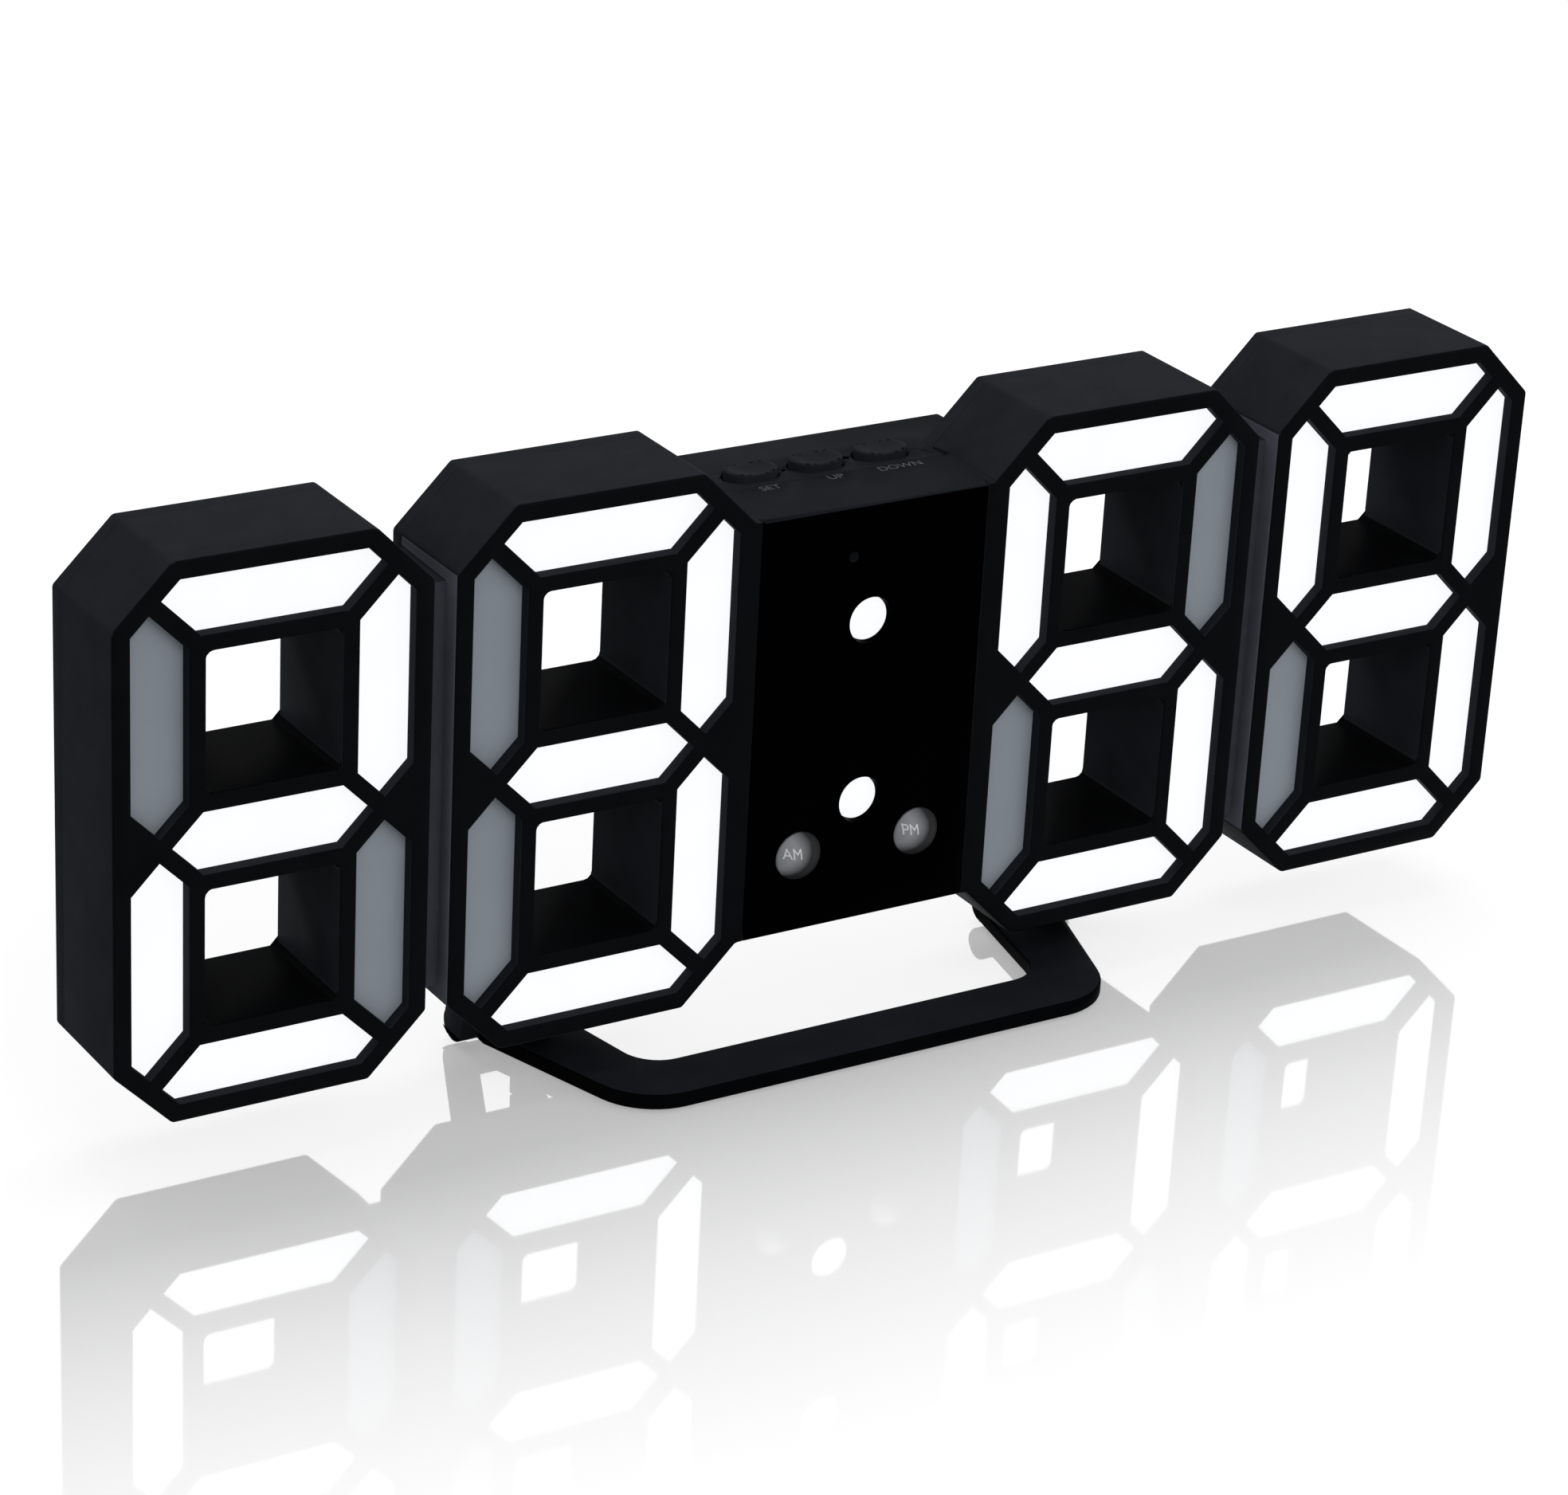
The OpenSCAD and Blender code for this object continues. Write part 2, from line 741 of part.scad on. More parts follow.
module power_inlet() color("#1b1b1d") {
    x1 = housing_half - wall;
    x0 = x1 - inlet_body[0];
    axis = [inlet_d, inlet_z];
    difference() {
        union() {
            across(x0, x1 - fit_gap) translate(axis) square([inlet_body[1], inlet_body[2]], center = true);
            across(x1 - wall, housing_half - fit_gap) translate(axis) circle(inlet_nose_r);
        }
        across(x0 + inlet_floor, housing_half) translate(axis) circle(inlet_bore_d / 2);
    }
    across(x0 + inlet_floor / 2, x1) translate(axis) circle(inlet_pin_d / 2);
}

module button_board() color("#14301f") level(button_board_z, button_board_z + board_t) {
    box2d(-button_pitch * 1.6, button_pitch * 1.6, button_board_front, button_board_back);
    box2d(-housing_half + wall + fit_gap, housing_half - wall - fit_gap, body_d + fit_gap, button_board_back);
}

module tact_switches() color("#26282c") {
    foot = button_board_z + board_t;
    level(foot, foot + switch_h) button_places() square(switch_w, center = true);
    level(foot + switch_h - eps, button_seat) button_places() circle(plunger_r);
}

// One button: dished cap, flange under the bar's top and stem down to the switch
module button(i) {
    translate([i * button_pitch, 0, 0]) {
        difference() {
            level(button_foot - flange_t, bar_top + button_up)
                translate([0, button_row]) oval2d(button_l, button_w);
            translate([0, front_y + button_row, mid_z + bar_top + button_up - dish_depth + dish_r])
                sphere(dish_r);
        }
        level(button_foot - flange_t, button_foot)
            translate([0, button_row]) oval2d(button_l + 2 * flange_w, button_w + 2 * flange_w);
        level(button_seat + button_travel + fit_gap, button_foot) translate([0, button_row]) circle(plunger_r);
    }
}

module set_button() color("#1a1c1f") button(-1);

module up_button() color("#1a1c1f") button(0);

module down_button() color("#1a1c1f") button(1);

module battery_door() color("#16181b") difference() {
    level(door_low, door_top) door2d(0);
    for (i = [0:2])
        slab(back_d - grip_deep, back_d + eps)
            translate([0, door_low + grip_low + grip_step * i]) square([grip_l, grip_w], center = true);
}

module cover_screws() color("#9a9da2") {
    slab(cover_head_d - screw_head_t, cover_head_d) at_points(cover_points) difference() {
        circle(screw_head_r);
        for (a = [0, 90]) rotate(a) square([slot_l, slot_w], center = true);
    }
    slab(cover_head_d - cover_screw_l, cover_head_d - screw_head_t / 2)
        at_points(cover_points) circle(screw_r);
}

module board_screws() color("#9a9da2") {
    slab(board_back, board_back + screw_head_t) at_points(board_points) circle(screw_head_r);
    slab(board_back - board_screw_l, board_back + eps) at_points(board_points) circle(screw_r);
    slab(control_d - screw_head_t, control_d) at_points(control_screws) circle(screw_head_r);
    slab(control_d - eps, control_d + board_screw_l) at_points(control_screws) circle(screw_r);
}

// Rounded front corner between a front edge and a side edge that spreads to the back
function corner(half, spread, edge, r, n = 10) =
    let (cy = edge + r, cx = half + tan(spread) * cy - r / cos(spread))
    [for (i = [0:n]) let (a = -90 + (90 - spread) * i / n) [cx + r * cos(a), cy + r * sin(a)]];

function with_mirror(points) =
    concat(points, [for (i = [len(points) - 1:-1:0]) [-points[i][0], points[i][1]]]);

module stand_plan2d() difference() {
    polygon(with_mirror(concat(
        corner(stand_half, stand_spread, -stand_reach, stand_r),
        [[arm_limit, (arm_limit - stand_half) / tan(stand_spread)], [arm_limit, hinge_d]])));
    polygon(with_mirror(concat(
        corner(stand_open, open_spread, stand_bar - stand_reach, open_r),
        [[stand_open + tan(open_spread) * (hinge_d + barrel_r), hinge_d + barrel_r]])));
}

module pad_places() {
    for (s = [-1, 1], p = [pad_front, pad_rear]) translate([s * p[0], p[1]]) children();
}

module stand() color("#131518") {
    difference() {
        union() {
            level(foot_z - mid_z, stand_top - mid_z) stand_plan2d();
            both_sides() across(barrel_x, arm_limit) translate([hinge_d, hinge_z]) circle(barrel_r);
            both_sides() level(stand_top - mid_z - eps, stand_top - mid_z + post_h - fit_gap)
                box2d(post_x, post_x + post_w, post_d, post_d + post_l);
        }
        both_sides() across(barrel_x + pin_cap, arm_limit + eps)
            translate([hinge_d, hinge_z]) circle(pin_d / 2 + pin_run);
        level(foot_z - mid_z - eps, pad_t - mid_z) pad_places() circle(pad_d / 2 + pin_fit);
    }
}

module hinge_pins() color("#a8abb0") both_sides() {
    across(barrel_x + pin_cap + run_gap, lug_x + lug_t - pin_cap)
        translate([hinge_d, hinge_z]) circle(pin_d / 2);
}

module stand_pads() color("#2b2c2e") level(-mid_z, pad_t - mid_z) pad_places() circle(pad_d / 2);

front_shell();
rear_cover();
centre_panel();
lit_lenses(0);  // digit_1_lit
dark_lenses(0);  // digit_1_unlit
lit_lenses(1);  // digit_2_lit
dark_lenses(1);  // digit_2_unlit
lit_lenses(2);  // digit_3_lit
dark_lenses(2);  // digit_3_unlit
lit_lenses(3);  // digit_4_lit
dark_lenses(3);  // digit_4_unlit
colon_lenses();
am_lens();
pm_lens();
light_sensor();
reflector(0);  // digit_1_reflector
reflector(1);  // digit_2_reflector
reflector(2);  // digit_3_reflector
reflector(3);  // digit_4_reflector
main_board();
segment_leds();
indicator_leds();
board_headers();
control_board();
microcontroller();
clock_chip();
clock_crystal();
smoothing_capacitor();
temperature_sensor();
buzzer();
cell_holder();
coin_cell();
cell_contact();
power_inlet();
button_board();
tact_switches();
set_button();
up_button();
down_button();
battery_door();
cover_screws();
board_screws();
stand();
hinge_pins();
stand_pads();
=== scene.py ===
"""Dresses the LED numeral clock: moulded shells with eased edges, lit and dark segment lenses, the glossy
centre bar, the buttons, the fittings at the back and the folding stand, on a pale studio floor."""
import json
import math

import bmesh
import bpy
from mathutils import Matrix, Vector


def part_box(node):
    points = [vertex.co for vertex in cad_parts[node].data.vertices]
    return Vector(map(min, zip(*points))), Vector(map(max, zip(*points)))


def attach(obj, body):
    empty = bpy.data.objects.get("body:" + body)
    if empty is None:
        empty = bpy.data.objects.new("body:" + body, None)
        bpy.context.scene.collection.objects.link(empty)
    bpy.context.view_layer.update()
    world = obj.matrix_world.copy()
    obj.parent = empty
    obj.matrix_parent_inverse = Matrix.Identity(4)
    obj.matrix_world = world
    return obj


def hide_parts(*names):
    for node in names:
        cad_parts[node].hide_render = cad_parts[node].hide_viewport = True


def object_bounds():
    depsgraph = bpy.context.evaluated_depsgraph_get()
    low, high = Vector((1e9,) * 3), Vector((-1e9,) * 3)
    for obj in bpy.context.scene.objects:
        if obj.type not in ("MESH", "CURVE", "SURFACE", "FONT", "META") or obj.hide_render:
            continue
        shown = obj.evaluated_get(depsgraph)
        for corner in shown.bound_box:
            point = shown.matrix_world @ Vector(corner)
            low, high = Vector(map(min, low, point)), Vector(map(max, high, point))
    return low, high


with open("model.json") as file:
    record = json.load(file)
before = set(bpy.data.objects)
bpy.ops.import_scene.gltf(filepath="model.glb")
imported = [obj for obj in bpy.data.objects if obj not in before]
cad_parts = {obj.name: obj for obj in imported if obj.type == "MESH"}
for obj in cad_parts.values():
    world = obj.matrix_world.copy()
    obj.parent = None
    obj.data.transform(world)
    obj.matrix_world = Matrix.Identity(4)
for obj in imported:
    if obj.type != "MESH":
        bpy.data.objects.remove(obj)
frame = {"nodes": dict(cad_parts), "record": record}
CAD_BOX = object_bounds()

bl_info = {
    "name": "LED Numeral Clock",
    "version": (1, 0, 0),
    "blender": (4, 5, 0),
    "location": "View3D > Sidebar > Clock",
    "description": "Dresses an LED numeral clock and its studio",
    "category": "Object",
}

MM = 0.001
NODES = frame["nodes"]
BODY = "clock"
DIGITS = (1, 2, 3, 4)
FINISHES = {}

# How the moulded finishes shine
SATIN = 0.46
DULL = 0.002
COOL = (0.82, 0.9, 1.0, 1.0)

# Limits for reading the frame's meshes: the same point, the same face, at a plane, a sharp edge
SAME_POINT = 0.002 * MM
SAME_FACE = math.radians(0.4)
NEAR = 0.05 * MM
SHARP = math.radians(30)

# Steps round an eased edge
ROUND_STEPS = 3

# The studio's floor, how far it lies under the pads, and each lamp's size and place in metres
FLOOR_HALF = 6.0
FLOOR_DROP = 0.02 * MM
LAMPS = {
    "key": (0.9, (-0.15, -1.05, 0.8)),
    "top": (0.8, (0.1, 0.15, 1.1)),
    "fill": (0.9, (0.8, -0.6, 0.55)),
    "back": (0.9, (-0.3, 0.95, 0.6)),
}

# The photograph's frame, in pixels, and the camera that it was taken with
IMAGE_W = 1968
SENSOR_W = 36.0
FOCAL_PIXELS = 6135.4
CAMERA_AT = Vector((-368.70, -566.15, 339.47)) * MM
CAMERA_TURN = math.radians(32.510)
CAMERA_DOWN = math.radians(23.644)
CAMERA_ROLL = math.radians(-3.112)


def length_prop(name, description, millimetres):
    """A length that a user may change, given in millimetres."""
    return bpy.props.FloatProperty(
        name=name, description=description, default=millimetres * MM, min=0.0, unit="LENGTH", precision=5
    )


def colour_prop(name, description, colour):
    """A colour that a user may change."""
    return bpy.props.FloatVectorProperty(
        name=name, description=description, default=colour, size=3, min=0.0, max=1.0, subtype="COLOR"
    )


def amount_prop(name, description, amount, high=1.0):
    """A share or strength that a user may change."""
    return bpy.props.FloatProperty(
        name=name, description=description, default=amount, min=0.0, max=high, subtype="FACTOR"
    )


def power_prop(name, description, watts):
    """A lamp's power that a user may change."""
    return bpy.props.FloatProperty(name=name, description=description, default=watts, unit="POWER")


class ClockSizes(bpy.types.PropertyGroup):
    """Edge radii and small sizes of the dressed clock."""

    outline_round: length_prop("Outline Rounding", "Radius of the digits' front outline", 0.45)
    window_round: length_prop("Window Rounding", "Radius of the windows' front edges", 0.4)
    window_corner: length_prop("Window Corners", "Radius of the windows' four corners", 1.3)
    corner_round: length_prop("Corner Rounding", "Radius of the digits' long corners", 0.5)
    segment_round: length_prop("Segment Rounding", "Radius of the segment openings' edges", 0.25)
    housing_round: length_prop("Housing Rounding", "Radius of the rear housing's edges", 1.0)
    stand_round: length_prop("Stand Rounding", "Radius of the stand's edges", 0.5)
    small_round: length_prop("Small Rounding", "Radius of every other moulded edge", 0.2)
    letter_height: length_prop("Letter Height", "Height of the letters on the indicator lenses", 1.6)
    letter_relief: length_prop("Letter Relief", "How far letters stand out of their surface", 0.04)
    letter_left: length_prop("Letter Offset", "How far the letters lie left of the lenses' middle", 1.95)
    letter_up: length_prop("Letter Rise", "How far the letters lie above the lenses' middle", 1.15)
    letter_width: amount_prop("Letter Width", "Share of the font's width in the lenses' letters", 0.82)
    legend_height: length_prop("Legend Height", "Height of the words before the buttons", 1.6)
    legend_gap: length_prop("Legend Gap", "Distance from a button to the middle of its word", 2.4)
    tread_step: length_prop("Tread Step", "Distance between the ribs on a rubber pad", 1.1)
    tread_height: length_prop("Tread Height", "Height of the ribs on a rubber pad", 0.25)
    slot_length: length_prop("Slot Length", "Length of the cross in a screw head", 2.4)
    slot_width: length_prop("Slot Width", "Width of the cross in a screw head", 0.5)
    slot_depth: length_prop("Slot Depth", "Depth of the cross in a screw head", 0.5)
    head_ease: length_prop("Head Easing", "Chamfer round a screw head", 0.25)


class ClockColours(bpy.types.PropertyGroup):
    """Colours of the clock's finishes."""

    shell: colour_prop("Shell", "Satin black of the moulded shells", (0.0162, 0.018, 0.0214))
    # Painted shade: the front faces get this darker black because little light reaches them from above
    front: colour_prop("Front", "Deeper black of the front faces", (0.0042, 0.0046, 0.0053))
    # Painted light: the grooves get a paler black that makes up for the shade falling in them
    groove_painted_light: colour_prop("Groove", "Greyer black in the grooves between two digits", (0.052, 0.057, 0.069))
    stand: colour_prop("Stand", "Black of the stand's flat top", (0.012, 0.0135, 0.0165))
    panel: colour_prop("Panel", "Deep black of the glossy panel", (0.0004, 0.0004, 0.0005))
    lit: colour_prop("Lit Lens", "Light of a lit segment", (0.97, 0.98, 1.0))
    dark: colour_prop("Dark Lens", "Grey of a segment that is off", (0.28, 0.313, 0.35))
    pilot: colour_prop("Indicator", "Smoked grey of the indicator lenses", (0.19, 0.195, 0.206))
    mark: colour_prop("Marks", "Pale letters on the indicator lenses", (0.75, 0.76, 0.78))
    legend: colour_prop("Legends", "Grey words before the buttons", (0.0185, 0.02, 0.0235))
    board: colour_prop("Board", "Green of the circuit boards", (0.01, 0.06, 0.025))
    metal: colour_prop("Plated Metal", "Colour of screws, pins and the coin cell", (0.55, 0.56, 0.58))


class ClockStudio(bpy.types.PropertyGroup):
    """Light and floor of the studio."""

    sky: amount_prop("Sky", "Strength of the even light from all round", 0.4, 2.0)
    key: power_prop("Key", "Power of the key lamp", 4.4)
    top: power_prop("Top", "Power of the lamp overhead", 3.8)
    fill: power_prop("Fill", "Power of the fill lamp", 1.8)
    back: power_prop("Back", "Power of the lamp behind", 2.4)
    shine: amount_prop("Floor Shine", "How strongly the floor mirrors the clock at its foot", 0.42)
    shine_reach: length_prop("Shine Reach", "Distance over which the floor's mirror image fades", 140)


# Node trees written as expressions


class Socket:
    """A node's output that can be used in Python expressions."""

    def __init__(self, maker, socket):
        self.maker = maker
        self.socket = socket

    def _math(self, operation, first, second):
        return self.maker.node("ShaderNodeMath", {"operation": operation}, {0: first, 1: second})

    def __add__(self, other):
        return self._math("ADD", self, other)

    __radd__ = __add__

    def __mul__(self, other):
        return self._math("MULTIPLY", self, other)

    __rmul__ = __mul__

    def __sub__(self, other):
        return self._math("SUBTRACT", self, other)

    def __rsub__(self, other):
        return self._math("SUBTRACT", other, self)

    def __truediv__(self, other):
        return self._math("DIVIDE", self, other)

    def __gt__(self, other):
        return self._math("GREATER_THAN", self, other)


class NodeMaker:
    """Adds nodes to a shader or geometry tree."""

    def __init__(self, tree):
        self.tree = tree

    def node(self, kind, settings=None, sockets=None, output=0):
        """A new node with its settings, then its sockets' values or links; gives one of its outputs."""
        made = self.tree.nodes.new(kind)
        for name, value in (settings or {}).items():
            setattr(made, name, value)
        for name, value in (sockets or {}).items():
            for item in value if isinstance(value, list) else [value]:
                if isinstance(item, Socket):
                    self.tree.links.new(item.socket, made.inputs[name])
                else:
                    made.inputs[name].default_value = item
        return Socket(self, made.outputs[output]) if made.outputs else made

    def seen(self):
        """1 where the camera looks straight, by a mirror or through a clear piece, otherwise 0."""
        path = self.tree.nodes.new("ShaderNodeLightPath").outputs
        rays = [Socket(self, path[f"Is {kind} Ray"]) for kind in ("Camera", "Glossy", "Transmission")]
        return self.node("ShaderNodeClamp", {}, {0: rays[0] + rays[1] + rays[2]})


class Finish(NodeMaker):
    """A material on the piece's own object coordinates, with one Principled shader."""

    def __init__(self, name, **constants):
        self.material = bpy.data.materials.new(name)
        self.material.use_nodes = True
        super().__init__(self.material.node_tree)
        self.shader = self.tree.nodes["Principled BSDF"]
        for socket, value in constants.items():
            self.shader.inputs[socket.replace("_", " ")].default_value = value
        self.place = self.node("ShaderNodeTexCoord", output="Object")

    def along(self, axis):
        """The piece's own coordinate along X, Y or Z."""
        return self.node("ShaderNodeSeparateXYZ", {}, {0: self.place}, axis)

    def noise(self, size, detail, roughness=0.55):
        """Soft noise from 0 to 1 whose blobs are about that size in metres."""
        sockets = {"Vector": self.place, "Scale": 1 / size, "Detail": detail, "Roughness": roughness}
        return self.node("ShaderNodeTexNoise", {}, sockets)

    def between(self, factor, first, second):
        """A colour between two others."""
        sockets = {0: factor, 6: (*first, 1), 7: (*second, 1)}
        return self.node("ShaderNodeMix", {"data_type": "RGBA"}, sockets, 2)

    def feed(self, name, value):
        """Links a value that changes over the surface to one of the shader's sockets."""
        self.tree.links.new(value.socket, self.shader.inputs[name])

    def bump(self, height, depth):
        """Lets a height from 0 to 1 stand out by that depth."""
        sockets = {"Height": height, "Distance": depth, "Strength": 1.0}
        self.feed("Normal", self.node("ShaderNodeBump", {}, sockets))


class Pattern(NodeMaker):
    """A geometry tree that repeats one form on the points of a mesh, with its sizes as named inputs."""

    def __init__(self, name, **values):
        super().__init__(bpy.data.node_groups.new(name, "GeometryNodeTree"))
        self.values = {key.replace("_", " "): value for key, value in values.items()}
        kinds = {float: "NodeSocketFloat", int: "NodeSocketInt"}
        sockets = self.tree.interface
        sockets.new_socket("Points", in_out="INPUT", socket_type="NodeSocketGeometry")
        for key, value in self.values.items():
            kind = kinds.get(type(value), "NodeSocketMaterial")
            sockets.new_socket(key, in_out="INPUT", socket_type=kind)
        sockets.new_socket("Geometry", in_out="OUTPUT", socket_type="NodeSocketGeometry")
        self.given = self.tree.nodes.new("NodeGroupInput").outputs

    def __getitem__(self, name):
        return Socket(self, self.given[name])

    def vector(self, x=0.0, y=0.0, z=0.0):
        """A vector from three values."""
        return self.node("ShaderNodeCombineXYZ", {}, {"X": x, "Y": y, "Z": z})

    def moved(self, form, place, turn=(0, 0, 0)):
        """A form turned and then moved."""
        sockets = {"Geometry": form, "Translation": place, "Rotation": turn}
        return self.node("GeometryNodeTransform", {}, sockets)

    def drum(self, radius, low, high, sides=48):
        """A round drum between two heights."""
        sockets = {"Vertices": sides, "Radius": radius, "Depth": high - low}
        form = self.node("GeometryNodeMeshCylinder", {}, sockets)
        return self.moved(form, self.vector(z=(low + high) * 0.5))

    def block(self, x, y, z):
        """A block of that size about the origin."""
        return self.node("GeometryNodeMeshCube", {}, {"Size": self.vector(x, y, z)})

    def cut(self, operation, **forms):
        """What is left of forms that cut each other."""
        sockets = {key.replace("_", " "): value for key, value in forms.items()}
        return self.node("GeometryNodeMeshBoolean", {"operation": operation, "solver": "EXACT"}, sockets)

    def joined(self, *forms):
        """Several forms as one."""
        return self.node("GeometryNodeJoinGeometry", {}, {"Geometry": list(forms)})

    def spread(self, points, form):
        """Real copies of a form on every point."""
        copies = self.node("GeometryNodeInstanceOnPoints", {}, {"Points": points, "Instance": form})
        return self.node("GeometryNodeRealizeInstances", {}, {"Geometry": copies})

    def make(self, name, form, places):
        """A plain piece with the form at every place."""
        whole = self.spread(self["Points"], form)
        sockets = {"Geometry": whole, "Material": self["Material"]}
        dressed = self.node("GeometryNodeSetMaterial", {}, sockets)
        self.node("NodeGroupOutput", {}, {"Geometry": dressed})
        mesh = bpy.data.meshes.new(name)
        mesh.from_pydata(places, [], [])
        piece = new_piece(name, mesh)
        modifier = piece.modifiers.new(self.tree.name, "NODES")
        modifier.node_group = self.tree
        for item in self.tree.interface.items_tree:
            if item.in_out == "INPUT" and item.name in self.values:
                modifier[item.identifier] = self.values[item.name]
        settle(piece)
        piece.data.shade_smooth()
        piece.data.set_sharp_from_angle(angle=SHARP)
        return piece


def shaded(colour, share):
    """A colour made darker or lighter by a share."""
    return tuple(min(1.0, c * share) for c in colour)


def moulded(name, colour, roughness, specular, grain=0.16 * MM, depth=0.006 * MM):
    """Moulded plastic: a fine spark-eroded grain, faint mottling and rubbed patches."""
    finish = Finish(name, Specular_IOR_Level=specular, Specular_Tint=COOL)
    mottle = finish.noise(6 * MM, 4.0)
    rubbed = finish.noise(23 * MM, 5.0)
    finish.feed("Base Color", finish.between(mottle, shaded(colour, 0.75), shaded(colour, 1.3)))
    finish.feed("Roughness", rubbed * 0.16 + (roughness - 0.08))
    finish.bump(finish.noise(grain, 2.0), depth)
    return finish.material


def polished(name, colour, specular):
    """Polished acrylic with a trace of haze and dust."""
    finish = Finish(name, Specular_IOR_Level=specular)
    haze = finish.noise(14 * MM, 4.0)
    dust = finish.noise(0.35 * MM, 1.0) > 0.77
    finish.feed("Base Color", finish.between(dust * 0.3, colour, shaded(colour, 4)))
    finish.feed("Roughness", haze * 0.06 + 0.05)
    finish.bump(finish.noise(30 * MM, 1.0), 0.01 * MM)
    return finish.material


def lit_lens(name, colour):
    """Diffuser that glows evenly, a little less in faint random clouds."""
    finish = Finish(name, Emission_Strength=0.93, Roughness=0.5, Specular_IOR_Level=0.2)
    cloud = finish.noise(9 * MM, 2.0)
    finish.feed("Emission Color", finish.between(cloud, shaded(colour, 0.985), colour))
    finish.feed("Base Color", finish.between(cloud, shaded(colour, 0.1), shaded(colour, 0.14)))
    finish.bump(finish.noise(0.3 * MM, 2.0), 0.004 * MM)
    return finish.material


def dark_lens(name, colour):
    """Milky diffuser with no lamp on behind it."""
    finish = Finish(name, Specular_IOR_Level=0.15)
    cloud = finish.noise(7 * MM, 3.0)
    finish.feed("Base Color", finish.between(cloud, shaded(colour, 0.95), shaded(colour, 1.05)))
    finish.feed("Roughness", cloud * 0.1 + 0.45)
    finish.bump(finish.noise(0.3 * MM, 2.0), 0.004 * MM)
    return finish.material


def smoked_lens(name, colour, left, right):
    """Smoked domes on the nodes left and right, with a cloudy core and painted shading: paler to the upper
    left, darker to the right and bottom.
    """
    finish = Finish(name, Specular_IOR_Level=0.03)
    start, end = centre_of(left), centre_of(right)
    x = finish.along("X")
    beside = (x - start.x - (x > (start.x + end.x) / 2) * (end.x - start.x)) / rod_radius(left)
    up = (finish.along("Z") - start.z) / rod_radius(left)
    cloud = finish.noise(2.2 * MM, 2.0)
    # Painted shading: paler to the upper left, darker to the right and bottom, as from a lamp at the upper
    # left
    painted_shading = up * 0.8 - beside * 1.4 - beside * beside * 0.3 - up * up * 0.8
    painted_light_share = finish.node("ShaderNodeClamp", {}, {0: painted_shading + cloud * 0.2 + 0.2})
    finish.feed("Base Color", finish.between(painted_light_share, shaded(colour, 0.12), shaded(colour, 1.5)))
    finish.feed("Roughness", cloud * 0.1 + 0.3)
    return finish.material


def painted(name, colour):
    """Printed paint with a worn edge."""
    finish = Finish(name, Specular_IOR_Level=0.3)
    wear = finish.noise(0.5 * MM, 3.0)
    finish.feed("Base Color", finish.between(wear, shaded(colour, 0.8), colour))
    finish.feed("Roughness", wear * 0.2 + 0.4)
    return finish.material


def circuit(name, colour):
    """Solder mask over a square pattern of copper tracks."""
    finish = Finish(name, Specular_IOR_Level=0.5)
    tracks = finish.node("ShaderNodeTexBrick", {}, {"Vector": finish.place, "Scale": 160.0}, "Fac")
    finish.feed("Base Color", finish.between(tracks, colour, shaded(colour, 1.8)))
    finish.feed("Roughness", tracks * 0.1 + 0.35)
    finish.bump(tracks, 0.03 * MM)
    return finish.material


def plated(name, colour):
    """Plated metal with fine turning marks."""
    finish = Finish(name, Metallic=1.0)
    marks = finish.noise(0.2 * MM, 4.0)
    finish.feed("Base Color", finish.between(marks, shaded(colour, 0.85), colour))
    finish.feed("Roughness", marks * 0.2 + 0.25)
    finish.bump(marks, 0.004 * MM)
    return finish.material


